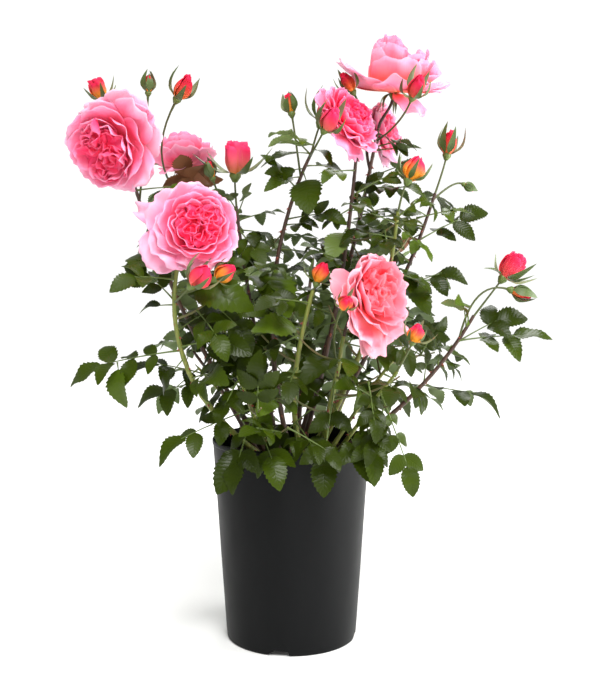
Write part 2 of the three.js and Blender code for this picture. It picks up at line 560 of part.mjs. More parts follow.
// ---- the scene -------------------------------------------------------------------------------------
const finish = (color, roughness) => new THREE.MeshStandardMaterial({ color, roughness, metalness: 0 });
const FINISHES = {
  pot: finish("#2b2c2e", 0.45),
  compost: finish("#2a1d16", 0.95),
  cane: finish("#5a6b2f", 0.6),
  foliage: finish("#3d5a2a", 0.5),
  petals: finish("#f58aa8", 0.6),
};

const rose = new THREE.Group();
function addNode(name, solid, material) {
  const made = solid.getMesh();
  const positions = new Float32Array(made.numVert * 3);
  for (let i = 0; i < made.numVert; i++) {
    positions.set(made.vertProperties.subarray(i * made.numProp, i * made.numProp + 3), 3 * i);
  }
  const geometry = new THREE.BufferGeometry()
    .setAttribute("position", new THREE.BufferAttribute(positions, 3))
    .setIndex(new THREE.BufferAttribute(new Uint32Array(made.triVerts), 1));
  geometry.computeVertexNormals();
  const mesh = new THREE.Mesh(geometry, material);
  mesh.name = name;
  rose.add(mesh);
}

addNode("pot", potSolid(), FINISHES.pot);
addNode("compost", compostSolid(), FINISHES.compost);
for (const shoot of shoots) {
  addNode(`cane_${shoot.name}`, caneSolid(shoot), FINISHES.cane);
  addNode(`foliage_${shoot.name}`, massSolid(shoot), FINISHES.foliage);
}
for (const bloom of blooms) addNode(bloom.name, bloomSolid(bloom), FINISHES.petals);

export default rose;
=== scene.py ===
"""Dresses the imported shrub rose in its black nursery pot: canes, leaves, blooms, buds, pot and compost.

Sizes are millimetres, +Z up and -Y the front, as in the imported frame, and are turned to metres where
meshes are made. The seeded rule below grows the same shoots and leaves as the frame's own solids, and
carries them on to finer twigs.
"""
import functools
import math

import bpy
import numpy as np
from bpy.props import FloatProperty, FloatVectorProperty, IntProperty, PointerProperty
from mathutils import Matrix, Vector


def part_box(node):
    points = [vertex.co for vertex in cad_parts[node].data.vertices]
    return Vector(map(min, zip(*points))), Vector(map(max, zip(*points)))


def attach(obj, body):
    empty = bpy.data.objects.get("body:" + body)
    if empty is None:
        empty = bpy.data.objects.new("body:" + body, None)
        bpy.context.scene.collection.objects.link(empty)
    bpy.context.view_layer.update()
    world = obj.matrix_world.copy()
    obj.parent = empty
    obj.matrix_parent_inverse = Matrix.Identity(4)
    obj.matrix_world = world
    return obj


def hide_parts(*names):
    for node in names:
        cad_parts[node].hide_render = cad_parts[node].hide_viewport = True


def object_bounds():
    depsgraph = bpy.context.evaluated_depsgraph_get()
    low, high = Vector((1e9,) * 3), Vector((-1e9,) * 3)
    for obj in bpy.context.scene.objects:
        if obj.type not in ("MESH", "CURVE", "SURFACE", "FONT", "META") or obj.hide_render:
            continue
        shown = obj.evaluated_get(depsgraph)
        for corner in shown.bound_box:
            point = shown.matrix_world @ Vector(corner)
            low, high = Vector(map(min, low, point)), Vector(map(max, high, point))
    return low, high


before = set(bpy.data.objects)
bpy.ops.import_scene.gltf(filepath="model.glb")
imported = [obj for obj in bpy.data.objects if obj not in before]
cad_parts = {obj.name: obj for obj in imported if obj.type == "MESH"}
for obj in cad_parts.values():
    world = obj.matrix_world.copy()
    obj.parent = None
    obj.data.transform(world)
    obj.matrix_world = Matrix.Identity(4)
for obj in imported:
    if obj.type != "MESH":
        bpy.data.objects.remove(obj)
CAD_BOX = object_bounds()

bl_info = {
    "name": "Shrub rose in a nursery pot",
    "version": (1, 0, 0),
    "blender": (4, 5, 0),
    "location": "3D View > Sidebar > Rose",
    "description": "Dresses a potted shrub rose: canes, leaves, blooms, buds, pot and compost",
    "category": "Object",
}

MM = 0.001
UP = np.array((0.0, 0.0, 1.0))

# ---- driving dimensions, in millimetres ---------------------------------------------------------------
POT_HIGH = np.array(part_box("pot")[1]) / MM
POT = dict(height=POT_HIGH[2], rim=POT_HIGH[0], foot=78.5, wall=2.0, lip=0.6, lip_height=6.0, floor=5.0,
           foot_round=2.5, sides=144, flank_low=12, under_lip=2, lip_slope=1.2, lip_round=0.1,
           below_compost=12, corner_rings=6, flank_rings=14, brim_rings=8, inside_rings=4,
           sharp=math.radians(32))
NOTCHES = dict(count=4, first=-102, half_width=15, rise=6.5, steep=0.85, slow=-0.2, below=1, inward=22,
               through=26)
COMPOST_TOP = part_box("compost")[1][2] / MM
COMPOST = dict(depth=14, sides=72, rings=26, dip=2.0, wave=1.2, bevel=1.2, shoulder=1, skirt=2,
               outer=0.98, inner=0.06, seed=4)
CROWN_LOW, CROWN_HIGH = (np.array(corner) / MM for corner in CAD_BOX)
ROOTING = 6.0
GAP = 0.3
LIMB_GAP = 1.6
SLEEVE = 15.0

# A pair is (middle, range) where the seeded rule picks a value.
LEAF = dict(rachis_share=0.6, first_pair=0.8, pair_step=0.38, tip_sunk=0.94, leaflet_share=0.4,
            leaflet_width=0.68, widest=0.42, fold=0.09, swing=(1.05, 0.12), tip_swing=(0, 0.15),
            size=(0.82, 0.05), size_step=0.12, outward=0.8, roll=(0, 0.4), hang=(0.3, 0.3), longest=92.0,
            bare_foot=0.08, near=1.6)
GROWTH = dict(first=0.06, last=0.94, reach_at_foot=1.08, reach_loss=0.3, reach_range=0.08,
              rise=(0.45, 0.25), droop=(0.25, 0.15), single_pair_from=0.8, tries=12)
CROWN = dict(half_width=150, half_depth=60, middle_y=30)
STALK = dict(radius=1.5, last_share=0.985)
BLOOM = dict(sides=10, leave=0.35, arrive=0.45, sunk=5)
PROBES = dict(spine=10, spine_start=0.08, rachis=12, leaflet=(0.2, 0.72), cane=60, bloom_stalk=40,
              bud_stalk=20, twig=12, head=3, twig_start=0.15, twig_room=14, length=17)
BEADS = dict(leaflet=0.1, bloom_stalk=2.2, bloom_head=0.55, bloom_hip=0.15, petal_ring=0.85,
             petal_rise=0.25, petal=0.24, bud=0.3, most=60000)
POT_ROOM = dict(above=2, outside=3, inside=12, over_compost=3)

# The finer growth: leaves between the source's own, and side twigs with leaves of theirs.
FINE = dict(sleeve=3.0, room=0.5, bead=0.03, leaf_key=100, twig_key=300, tries=14, leaf_from=0.25,
            leaf_bare=0.3, leaf_to=0.98, twig_from=0.3, twig_to=0.86, twig_length=(0.72, 0.2),
            twig_rise=(0.55, 0.35), twig_arch=0.22, twig_radius=1.5, twig_tip_radius=0.9, twig_leaves=4,
            twig_leaf_from=0.35, twig_leaf_reach=0.85, twig_leaf_key=50, leaf_reach=(0.95, 0.14),
            three_pairs=0.2,
            two_pairs=0.7, high=430, outward_high=0.3, lowest=232.0)

# Each shoot is one cane: its name, its foot on the compost, the point that pulls its curve, its tip, its
# radius at both ends, the share of it that stays bare, the source's own leaves on it and their reach, and
# the finer leaves and the side twigs that it gets beyond those.
SHOOTS = (
    ("left_front", (-30, -14), (-150, -95, 322), (-124, -97, 452), (3.4, 2.2), 0.42, 3, 105, 4, 3),
    ("left_high", (-27, 5), (-150, 15, 400), (-184, -28, 556), (3.2, 1.8), 0.5, 3, 95, 3, 1),
    ("left_back", (-17, 19), (-100, 75, 370), (-131, 50, 545), (3.2, 1.8), 0.45, 3, 95, 4, 2),
    ("mid_left", (-13, 3), (-50, 25, 380), (-66, 20, 520), (3, 1.9), 0.45, 3, 95, 5, 3),
    ("centre_high", (0, -11), (-55, -5, 430), (26, -12, 585), (3.3, 1.9), 0.5, 3, 95, 4, 2),
    ("top", (5, 20), (70, 38, 430), (104, 20, 612), (3.4, 1.9), 0.45, 3, 90, 4, 2),
    ("centre_top", (10, 3), (62, -22, 400), (76, -24, 582), (3.2, 1.9), 0.48, 3, 90, 4, 2),
    ("right_high", (24, 10), (128, 5, 400), (170, -2, 535), (3.2, 1.8), 0.42, 3, 95, 5, 3),
    ("right_mid", (23, -8), (115, -52, 400), (121, -60, 512), (3, 1.8), 0.45, 3, 85, 6, 4),
    ("right_far", (36, -12), (145, -35, 275), (214, -25, 392), (3.4, 2), 0.5, 3, 100, 3, 1),
    ("front_centre", (16, -36), (-12, -72, 300), (25, -90, 425), (3.6, 2.2), 0.4, 4, 100, 6, 4),
    ("front_right", (35, -28), (48, -66, 310), (60, -74, 372), (3.4, 2.2), 0.4, 4, 100, 6, 4),
    ("back_left", (-10, 31), (-70, 110, 340), (-90, 165, 440), (3.2, 1.8), 0.4, 3, 105, 6, 5),
    ("back_middle", (8, 36), (15, 130, 350), (30, 185, 465), (3.2, 1.8), 0.4, 3, 105, 6, 5),
    ("back_right", (24, 27), (95, 95, 340), (135, 135, 455), (3.2, 1.8), 0.4, 3, 105, 6, 5),
    ("low_left", (-37, -2), (-80, -2, 300), (-120, 5, 350), (2.8, 1.6), 0.35, 3, 110, 5, 4),
    ("low_front_left", (-22, -32), (-45, -60, 290), (-60, -95, 330), (2.8, 1.6), 0.35, 4, 100, 5, 4),
    ("low_front_right", (47, -30), (85, -70, 285), (118, -100, 335), (2.8, 1.6), 0.35, 3, 100, 5, 4),
    ("low_right", (43, 4), (95, 30, 300), (145, 40, 355), (2.8, 1.6), 0.35, 3, 110, 5, 4),
    ("low_back_left", (-26, 27), (-80, 70, 280), (-125, 100, 320), (2.8, 1.6), 0.35, 3, 110, 5, 4),
    ("low_back_right", (36, 33), (70, 100, 280), (90, 150, 320), (2.8, 1.6), 0.35, 3, 110, 5, 4),
)
RED_CANES = ("left_high", "centre_high", "top", "right_high", "right_far", "mid_left", "back_middle",
             "low_left", "centre_top")

# The leaves that make the crown's furthest tips: the shoot, the share along it where they leave, the point
# they reach, their pairs of leaflets, and how large those are beside the rule's own.
REACHES = (
    ("left_front", 0.62, (-253, -75, 318), 3, 1),
    ("low_left", 0.7, (-190, -60, 330), 2, 1),
    ("low_front_left", 0.55, (-150, -112, 236), 2, 1),
    ("low_front_left", 0.5, (-66, -132, 205), 2, 1),
    ("front_right", 0.62, (36, -143, 204), 2, 1),
    ("low_front_right", 0.5, (93, -130, 215), 2, 1),
    ("low_front_right", 0.75, (137, -112, 196), 3, 0.75),
    ("right_far", 0.87, (305, -34, 370), 2, 1.2),
    ("low_right", 0.6, (255, -12, 275), 3, 1),
    ("centre_high", 0.86, (-34, -20, 580), 2, 1),
    ("centre_high", 0.92, (20, -70, 512), 0, 4.5),
    ("top", 0.84, (158, -10, 566), 1, 1),
    ("mid_left", 0.9, (-30, -30, 452), 2, 1),
    ("right_high", 0.8, (238, 22, 517), 2, 1),
    ("right_high", 0.6, (215, 12, 432), 2, 1),
    ("left_front", 0.85, (-190, -62, 452), 2, 1),
    ("back_middle", 0.9, (20, 275, 440), 3, 1),
    ("back_left", 0.85, (-160, 225, 400), 3, 1),
    ("back_right", 0.85, (215, 200, 420), 3, 1),
)

# Open blooms: the shoot and the share along it where the stalk leaves, the middle of the bloom's face, where
# it faces, its radius, and how deep it is beside a flat one.
BLOOMS = (
    dict(name="bloom_left", shoot="left_high", at=1, face=(-203, -62, 587), toward=(-0.25, -0.93, -0.2),
         radius=57, depth=1),
    dict(name="bloom_front_left", shoot="left_front", at=1, face=(-109, -124, 495),
         toward=(0.22, -0.93, 0.28), radius=55, depth=1),
    dict(name="bloom_back_left", shoot="left_back", at=1, face=(-134, 66, 590), toward=(-0.35, 0.5, 0.75),
         radius=40, depth=1.3),
    dict(name="bloom_top", shoot="top", at=1, face=(125, 17, 709), toward=(0.2, -0.12, 0.97),
         radius=58, depth=1.9),
    dict(name="bloom_centre", shoot="centre_top", at=1, face=(71, -36, 620), toward=(0.35, -0.5, 0.8),
         radius=38, depth=1.2),
    dict(name="bloom_behind", shoot="top", at=0.86, face=(120, 64, 606), toward=(0.5, 0.45, 0.7),
         radius=38, depth=1.1),
    dict(name="bloom_front_right", shoot="front_right", at=1, face=(97, -106, 412), toward=(0.6, -0.77, 0.18),
         radius=57, depth=1.1),
)

# Buds: the shoot and the share along it where the stalk leaves, the middle of the bud, its length and form,
# how far its stalk bows aside, and how warm and how blushed it is where the rule doesn't pick that.
BUDS = (
    ("left_high", 0.95, (-226, 6, 655), 30, "half_open", (0, 26, -10), 2.2, None),
    ("left_high", 0.9, (-168, 10, 662), 24, "tight", (0, 14, 6), None, None),
    ("left_back", 0.93, (-125, -20, 653), 34, "showing", (-52, -2, -16), 0.8, None),
    ("mid_left", 1, (-66, 20, 575), 46, "half_open", (-2, 0, 0), 0.8, -0.3),
    ("mid_left", 0.94, (-96, 8, 562), 24, "tight", (-6, 0, -6), None, None),
    ("centre_high", 1, (40, -5, 630), 38, "showing", (-3, 0, -4), 0.6, -0.3),
    ("centre_high", 0.97, (43, -84, 611), 34, "showing", (-6, -10, -12), 0.6, -0.25),
    ("centre_high", 0.9, (-1, -2, 638), 28, "tight", (0, 0, 4), None, None),
    ("top", 0.96, (141, -52, 650), 32, "showing", (6, -4, -12), 0.5, None),
    ("top", 0.92, (67, 2, 662), 27, "showing", (6, 0, 6), None, 0.15),
    ("right_high", 1, (186, 0, 592), 33, "showing", (2, 0, 0), 0.5, None),
    ("right_high", 0.97, (211, 10, 543), 17, "tight", (4, 4, 16), None, None),
    ("right_mid", 1, (138, -60, 559), 34, "plump", (-4, 0, 0), 2.2, -0.1),
    ("right_far", 1, (257, -20, 447), 38, "half_open", (0, 0, 0), 0.3, -0.05),
    ("right_far", 0.88, (266, -34, 419), 28, "tight", (-20, -2, 44), None, None),
    ("front_centre", 1, (33, -92, 443), 28, "plump", (0, 0, 0), 1.8, 0.1),
    ("front_right", 0.72, (58, -163, 415), 22, "plump", (-14, -10, 6), 1.8, None),
    ("left_front", 0.84, (-97, -136, 441), 33, "plump", (-6, -12, -8), 0.4, None),
    ("left_front", 0.88, (-72, -112, 444), 29, "plump", (-4, -6, -10), 2.4, None),
    ("low_front_right", 1, (137, -112, 378), 26, "plump", (2, 0, 0), 2.4, None),
)

# Leaves beyond the source's own that land their tips on a point, as above. One that leaves another leaf has
# that one's number for its shoot, and a last word gives a leaf its tint; the pale and the fresh tint given
# there are painted sheen, a paler colour standing in for a glossy reflection on those two leaves.
FINE_REACHES = (
    ("mid_left", 0.98, (-84, -10, 534), 1, 1),
    ("mid_left", 0.96, (-48, -6, 548), 1, 1),
    ("right_far", 0.72, (173, -40, 356), 1, 1),
    ("right_mid", 0.97, (152, -80, 526), 1, 1),
    ("top", 0.93, (155, 10, 590), 1, 1),
    ("low_front_left", 0.42, (-11, -140, 212), 1, 1),
    ("front_centre", 0.3, (34, -128, 236), 1, 1),
    ("front_right", 0.45, (92, -122, 214), 1, 1),
    ("front_centre", 0.28, (6, -108, 242), 1, 1),
    ("low_front_left", 0.4, (-24, -100, 268), 1, 1),
    ("left_back", 0.9, (-106, -2, 576), 1, 1.6, "young"),
    ("left_back", 0.96, (-130, -6, 582), 1, 1.7, "young"),
    ("centre_high", 0.9, (-31, -40, 538), 0, 5),
    ("centre_high", 0.985, (-37, -20, 570), 0, 5),
    ("centre_high", 0.93, (-29, -20, 546), 0, 5),
    # Painted sheen: the pale, greyish tint stands in for a glossy reflection on this leaf.
    ("centre_top", 0.76, (44, -66, 460), 0, 5, "pale"),
    ("top", 0.7, (132, -40, 471), 1, 1.3),
    ("right_mid", 0.94, (67, -50, 515), 1, 1.1),
    ("top", 0.83, (98, -5, 520), 0, 3.5),
    ("top", 0.985, (126, -10, 579), 0, 3.5),
    ("right_high", 0.9, (131, -30, 510), 0, 3),
    ("mid_left", 0.9, (-17, -5, 476), 1, 1.8),
    ("centre_high", 0.73, (31, -40, 499), 1, 1.7),
    ("centre_top", 0.82, (35, -40, 493), 1, 1.1),
    ("right_high", 0.69, (140, -40, 423), 0, 9),
    ("right_high", 0.64, (162, -40, 397), 0, 9),
    ("left_front", 0.58, (-149, -70, 305), 0, 3),
    ("left_front", 0.97, (-189, -50, 465), 0, 3.6),
    ("left_front", 0.83, (-172, -80, 403), 0, 2.4),
    ("right_far", 0.86, (280, -20, 392), 1, 1.2),
    ("centre_high", 1, (50, -30, 571), 0, 9),
    ("centre_top", 0.86, (107, -30, 549), 0, 6),
    ("centre_top", 0.86, (93, -40, 519), 0, 5),
    ("mid_left", 0.97, (-95, -4, 540), 1, 1.2),
    ("right_far", 0.62, (160, -30, 355), 1, 1.3),
    # Painted sheen: the fresh, lighter tint stands in for a glossy reflection on this leaf.
    ("front_centre", 0.82, (-39, -125, 387), 0, 8, "fresh"),
    ("left_front", 0.9, (-41, -125, 412), 0, 4),
    ("mid_left", 0.8, (0, -80, 399), 0, 5),
    ("front_right", 0.8, (12, -118, 331), 0, 8),
    ("low_front_left", 0.8, (-75, -110, 300), 0, 8),
    ("low_front_left", 0.45, (-23, -105, 267), 0, 8),
    (3, 0.75, (-81, -125, 203), 0, 8),
    (0, 0.75, (-191, -85, 291), 0, 8),
)

# Green stems that show between the leaves from the front, each with the shares of its length that do, and
# how far in front of them no leaf hangs.
SHOWN_STEMS = (("front_centre", 0.3, 1.0), ("front_right", 0.42, 0.95), ("left_front", 0.3, 0.95),
               ("right_far", 0.5, 0.95), ("centre_high", 0.6, 0.95))
STEM_PROBES = 24
STEM_ROOM = 13
# Where the crown lets the light through: left, right, low and high edges of each opening.
OPEN_AIR = ((-300, -105, 225, 312), (112, 320, 225, 318), (-300, -152, 372, 470), (-300, -185, 470, 540),
            (168, 320, 400, 500), (222, 320, 318, 372), (-48, -12, 498, 560), (0, 52, 490, 545),
            (-175, -105, 312, 326), (60, 100, 560, 610), (198, 224, 528, 562), (-227, -178, 345, 372),
            (148, 219, 395, 426), (-100, -34, 240, 268))

# ---- the seeded rule ------------------------------------------------------------------------------------
GOLDEN_ANGLE = math.radians(137.5)
AIM_PASSES = 5
REACH_KEY, TIP_KEY, PAIR_KEY = 900, 30, 10
OWNER_BUD, OWNER_LEAF, OWNER_BLOOM = 100, 101, 200
UPRIGHT = 0.9


def chance(*keys):
    """The same whole numbers always give the same number from 0 to 1."""
    h = 2166136261
    for key in keys:
        h = ((h ^ key) * 16777619) & 0xFFFFFFFF
        h ^= h >> 15
        h = (h * 2246822519) & 0xFFFFFFFF
        h ^= h >> 13
    return h / 4294967296


def spread(middle, reach, *keys):
    return middle + reach * (2 * chance(*keys) - 1)


def lerp(a, b, t):
    return a + (b - a) * t


def vec(values):
    return np.array(values, float)


def unit(v):
    return v / np.linalg.norm(v)


def turned(v, axis, angle):
    """v turned about a unit axis."""
    c, s = math.cos(angle), math.sin(angle)
    return v * c + np.cross(axis, v) * s + axis * (np.dot(axis, v) * (1 - c))


def square_to(tangent, angle):
    """A unit vector square to the tangent, turned round it by an angle from the level side."""
    level = vec((1, 0, 0)) if abs(tangent[2]) > UPRIGHT else UP
    return turned(unit(np.cross(level, tangent)), tangent, angle)


class Bezier:
    """A smooth curve from two, three or four control points."""

    def __init__(self, *points):
        self.points = np.array(points, float)

    def narrowed(self, t, left):
        """The control points halved towards t until so many are left."""
        p = self.points
        while len(p) > left:
            p = (1 - t) * p[:-1] + t * p[1:]
        return p

    def at(self, t):
        return self.narrowed(t, 1)[0]

    def tangent(self, t):
        first, last = self.narrowed(t, 2)
        return unit(last - first)

    def length(self):
        points = np.array([self.at(t) for t in np.linspace(0, 1, PROBES["length"])])
        return float(np.linalg.norm(np.diff(points, axis=0), axis=1).sum())


def face_up(p, outward):
    """Leaves turn their upper sides up and outward from the middle of the crown."""
    away = vec((p[0] / CROWN["half_width"], (p[1] - CROWN["middle_y"]) / CROWN["half_depth"], 0))
    return unit(outward * unit(away) + UP)


def facing(base):
    """How far a fine leaf turns outward: high in the crown it lies flatter."""
    return FINE["outward_high"] if base[2] > FINE["high"] else LEAF["outward"]


class Leaf:
    """A compound leaf: a straight rachis that hangs a little, pairs of leaflets and one at its tip."""

    def __init__(self, base, direction, reach, pairs, droop, keys, outward=LEAF["outward"], fine=1.0):
        length = reach * LEAF["rachis_share"]
        self.keys, self.reach, self.fine, self.tint = keys, reach, fine, None
        self.rachis = Bezier(base, base + direction * length - UP * droop * length)
        self.along = self.rachis.tangent(0)
        self.across = unit(np.cross(self.along, face_up(base, outward)))
        self.leaflets = []
        for pair in range(pairs):
            t = LEAF["first_pair"] - pair * LEAF["pair_step"] * 2 / max(2, pairs)
            for side in (-1, 1):
                swing = side * spread(*LEAF["swing"], *keys, pair, side + 5)
                size = spread(*LEAF["size"], *keys, pair, side + 8) - pair * LEAF["size_step"]
                self.add(t, swing, size, PAIR_KEY + 2 * pair + side)
        self.add(LEAF["tip_sunk"], spread(*LEAF["tip_swing"], *keys, 3), 1, TIP_KEY)

    def add(self, t, swing, size, key):
        face = np.cross(self.across, self.along)
        face = turned(face, self.along, spread(*LEAF["roll"], *self.keys, key, 1))
        axis = turned(self.along, face, swing)
        axis = unit(axis - UP * spread(*LEAF["hang"], *self.keys, key, 2))
        normal = unit(face - axis * np.dot(face, axis))
        length = size * self.fine * self.reach * LEAF["leaflet_share"]
        self.leaflets.append((self.rachis.at(t), axis, normal, length))

    def points(self):
        """Points spread over the leaflets."""
        found = []
        near, far = PROBES["leaflet"]
        half, widest, fold = LEAF["leaflet_width"] / 2, LEAF["widest"], LEAF["fold"]
        for base, axis, normal, length in self.leaflets:
            side = np.cross(axis, normal)
            for along, across, lift in ((near, 0, 0), (widest, 0, 0), (far, 0, -0.5 * fold), (1, 0, -fold),
                                        (widest, half, fold), (widest, -half, fold)):
                found.append(base + length * (along * axis + across * side + lift * normal))
        return np.array(found)

    def rachis_points(self):
        steps = PROBES["rachis"]
        return np.array([self.rachis.at(i / steps) for i in range(1, steps + 1)])


def reaching_leaf(base, to, pairs, key, size, outward):
    """A leaf whose tip lands on a point: each pass aims off by what the last one missed."""
    target = vec(to)
    aim = target.copy()
    fine = size * min(1.0, LEAF["longest"] / np.linalg.norm(target - base))
    share = max(1, LEAF["rachis_share"] + LEAF["leaflet_share"] * fine)
    for _ in range(AIM_PASSES):
        way = aim - base
        leaf = Leaf(base, unit(way), np.linalg.norm(way), pairs, 0, (key,), outward, fine)
        root, axis, _, length = leaf.leaflets[-1]
        aim = aim + (target - root - axis * length) / share
    return leaf


class Beads:
    """Balls along every limb, bloom and leaflet, which leaves keep clear of."""

    def __init__(self):
        self.points = np.zeros((BEADS["most"], 3))
        self.radii = np.zeros(BEADS["most"])
        self.owners = np.zeros(BEADS["most"], int)
        self.count = 0

    def add(self, point, radius, owner):
        self.points[self.count], self.radii[self.count], self.owners[self.count] = point, radius, owner
        self.count += 1

    def along(self, curve, radius, owner, steps):
        for i in range(steps + 1):
            self.add(curve.at(i / steps), radius, owner)

    def others(self, owner, near, reach):
        """The beads of any other owner within reach of a point."""
        points, radii = self.points[:self.count], self.radii[:self.count]
        kept = (self.owners[:self.count] != owner) & (np.abs(points - near).max(axis=1) < reach)
        return points[kept], radii[kept]


class Shoot:
    """A cane and what it carries."""

    def __init__(self, index, name, foot, pull, tip, radius, bare, leaves, reach, fine_leaves, twigs):
        self.index, self.name, self.radius, self.bare, self.reach = index, name, radius, bare, reach
        self.leaves, self.fine_leaves, self.twigs = leaves, fine_leaves, twigs
        self.curve = Bezier((*foot, COMPOST_TOP - ROOTING), pull, tip)
        start, steps = bare + PROBES["spine_start"], PROBES["spine"]
        self.spine = np.array([self.curve.at(lerp(start, 1, i / steps)) for i in range(steps + 1)])

    def radius_at(self, t):
        return lerp(*self.radius, t)


def wall_at(z):
    """The pot's outer radius at a height, without its lip."""
    return POT["foot"] + (POT["rim"] - POT["lip"] - POT["foot"]) * z / POT["height"]


def clear_of_pot(points):
    """Outside the pot's wall, or inside it and above the compost."""
    out = np.hypot(points[:, 0], points[:, 1])
    z = points[:, 2]
    wall = wall_at(z) + POT["lip"]
    above = z > POT["height"] + POT_ROOM["above"]
    outside = out > wall + POT_ROOM["outside"]
    inside = (out < wall - POT_ROOM["inside"]) & (z > COMPOST_TOP + POT_ROOM["over_compost"])
    return bool((above | outside | inside).all())


def in_crown(points):
    """Inside the frame's own box, and nowhere that the crown stays open, seen from the front."""
    x, z = points[:, 0], points[:, 2]
    if (points <= CROWN_LOW).any() or (points >= CROWN_HIGH).any():
        return False
    return not any(((x > left) & (x < right) & (z > low) & (z < high)).any()
                   for left, right, low, high in OPEN_AIR)


def touching(leaflet, points, radii, room):
    """Whether any of the balls reaches into a leaflet's own flat box."""
    base, axis, normal, length = leaflet
    away = points - base
    reach = radii + room
    along = away @ axis
    across = np.abs(away @ np.cross(axis, normal))
    lift = np.abs(away @ normal)
    hit = (along >= LEAF["bare_foot"] * length - reach) & (along <= length + reach)
    hit &= across < (LEAF["leaflet_width"] / 2) * length + reach
    hit &= lift < reach + 0.5 * LEAF["fold"] * length
    return bool(hit.any())


def ways_out(tangent, start, tries, rise, keys):
    """Directions out of a stem, each turned on from the last one."""
    for attempt in range(tries):
        side = square_to(tangent, start + attempt * math.tau / tries)
        yield attempt, unit(side + tangent * spread(*rise, *keys, attempt, 2))


class Plant:
    """Everything that grows: shoots, side twigs, leaves, the stalks of blooms and buds."""

    def __init__(self):
        self.shoots = [Shoot(i, *row) for i, row in enumerate(SHOOTS)]
        self.named = {shoot.name: shoot for shoot in self.shoots}
        self.beads = Beads()
        self.blooms = [self.bloom(i, spec) for i, spec in enumerate(BLOOMS)]
        for shoot in self.shoots:
            self.beads.along(shoot.curve, shoot.radius[0], shoot.index, PROBES["cane"])
        self.buds = [self.bud(*row) for row in BUDS]
        self.leaves = []
        self.twigs = []
        for i, row in enumerate(REACHES):
            self.reach_out(REACH_KEY + i, BEADS["leaflet"], False, *row)
        for shoot in self.shoots:
            self.leaf_out(shoot)
        for i, row in enumerate(FINE_REACHES):
            self.reach_out(REACH_KEY + len(REACHES) + i, FINE["bead"], True, *row)
        for shoot in self.shoots:
            self.fill(shoot)
        for shoot in self.shoots:
            self.branch(shoot)

    def bloom(self, index, spec):
        shoot = self.named[spec["shoot"]]
        toward = unit(vec(spec["toward"]))
        face = vec(spec["face"])
        radius, depth, at, owner = spec["radius"], spec["depth"], spec["at"], OWNER_BLOOM + index
        seat = face - 0.5 * depth * radius * toward
        start = shoot.curve.at(at)
        away = shoot.curve.tangent(at)
        if at < 1:
            way = seat - start
            away = unit(way - away * np.dot(way, away))
            start = start + away * shoot.radius_at(at)
        start = start + away * GAP
        length = np.linalg.norm(seat - start)
        stalk = Bezier(start, start + away * BLOOM["leave"] * length,
                       seat - toward * BLOOM["arrive"] * length, seat - toward * BLOOM["sunk"])
        self.beads.along(stalk, BEADS["bloom_stalk"], owner, PROBES["bloom_stalk"])
        hip = seat - toward * BEADS["bloom_hip"] * radius
        self.beads.along(Bezier(hip, face), BEADS["bloom_head"] * radius, owner, PROBES["head"])
        ring = seat + toward * BEADS["petal_rise"] * depth * radius
        for k in range(BLOOM["sides"]):
            out = square_to(toward, k * math.tau / BLOOM["sides"])
            self.beads.add(ring + out * BEADS["petal_ring"] * radius, BEADS["petal"] * radius, owner)
        return dict(spec, index=index, toward=toward, seat=seat, stalk=stalk)

    def bud(self, shoot, at, to, length, form, bow, warm, blush):
        start = self.named[shoot].curve.at(min(at, STALK["last_share"]))
        middle = vec(to)
        pull = lerp(start, middle, 0.5) + vec(bow)
        toward = unit(middle - pull)
        foot = middle - toward * length / 2
        stalk = Bezier(start, pull, foot)
        self.beads.along(stalk, STALK["radius"], OWNER_BUD, PROBES["bud_stalk"])
        self.beads.along(Bezier(foot, middle), BEADS["bud"] * length, OWNER_BUD, PROBES["head"])
        return dict(stalk=stalk, foot=foot, toward=toward, length=length, form=form, warm=warm, blush=blush,
                    key=int(abs(to[0])))

    def add_leaf(self, leaf, bead):
        self.leaves.append(leaf)
        probes = leaf.points().reshape(len(leaf.leaflets), -1, 3)
        for (_, _, _, length), points in zip(leaf.leaflets, probes):
            for point in points:
                self.beads.add(point, bead * length, OWNER_LEAF)

    def reach_out(self, key, bead, fine, stem, at, to, pairs, size, tint=None):
        """Adds a leaf that lands its tip on a point, whatever is in its way."""
        curve = self.leaves[stem].rachis if isinstance(stem, int) else self.named[stem].curve
        base = curve.at(at)
        leaf = reaching_leaf(base, to, pairs, key, size, facing(base) if fine else LEAF["outward"])
        leaf.tint = tint
        self.add_leaf(leaf, bead)

    def fits(self, leaf, shoot, room, sleeve):
        points = np.vstack((leaf.points(), leaf.rachis_points()))
        if not clear_of_pot(points):
            return False
        for other in self.shoots:
            if other is not shoot:
                away = np.linalg.norm(points[:, None] - other.spine[None], axis=2)
                if away.min() <= sleeve:
                    return False
        near, radii = self.beads.others(shoot.index, leaf.rachis.at(0.5), LEAF["near"] * leaf.reach)
        if not len(near):
            return True
        if any(touching(leaflet, near, radii, room) for leaflet in leaf.leaflets):
            return False
        away = np.linalg.norm(points[:, None] - near[None], axis=2)
        return bool((away > radii + room).all())

    def leaf_out(self, shoot):
        """The source's own leaves, up the shoot by the golden angle."""
        for i in range(shoot.leaves):
            t = lerp(shoot.bare + GROWTH["first"], GROWTH["last"], i / (shoot.leaves - 1))
            base, tangent = shoot.curve.at(t), shoot.curve.tangent(t)
            keys = (shoot.index + 1, i + 1)
            reach_here = GROWTH["reach_at_foot"] - GROWTH["reach_loss"] * t
            reach = shoot.reach * spread(reach_here, GROWTH["reach_range"], *keys, 1)
            start, tries = i * GOLDEN_ANGLE + shoot.index, GROWTH["tries"]
            for attempt, way in ways_out(tangent, start, tries, GROWTH["rise"], keys):
                droop = spread(*GROWTH["droop"], *keys, attempt, 3)
                pairs = 2 if t < GROWTH["single_pair_from"] and attempt < tries / 2 else 1
                leaf = Leaf(base, way, reach, pairs, droop, (*keys, attempt))
                if self.fits(leaf, shoot, LIMB_GAP, SLEEVE):
                    self.add_leaf(leaf, BEADS["leaflet"])
                    break

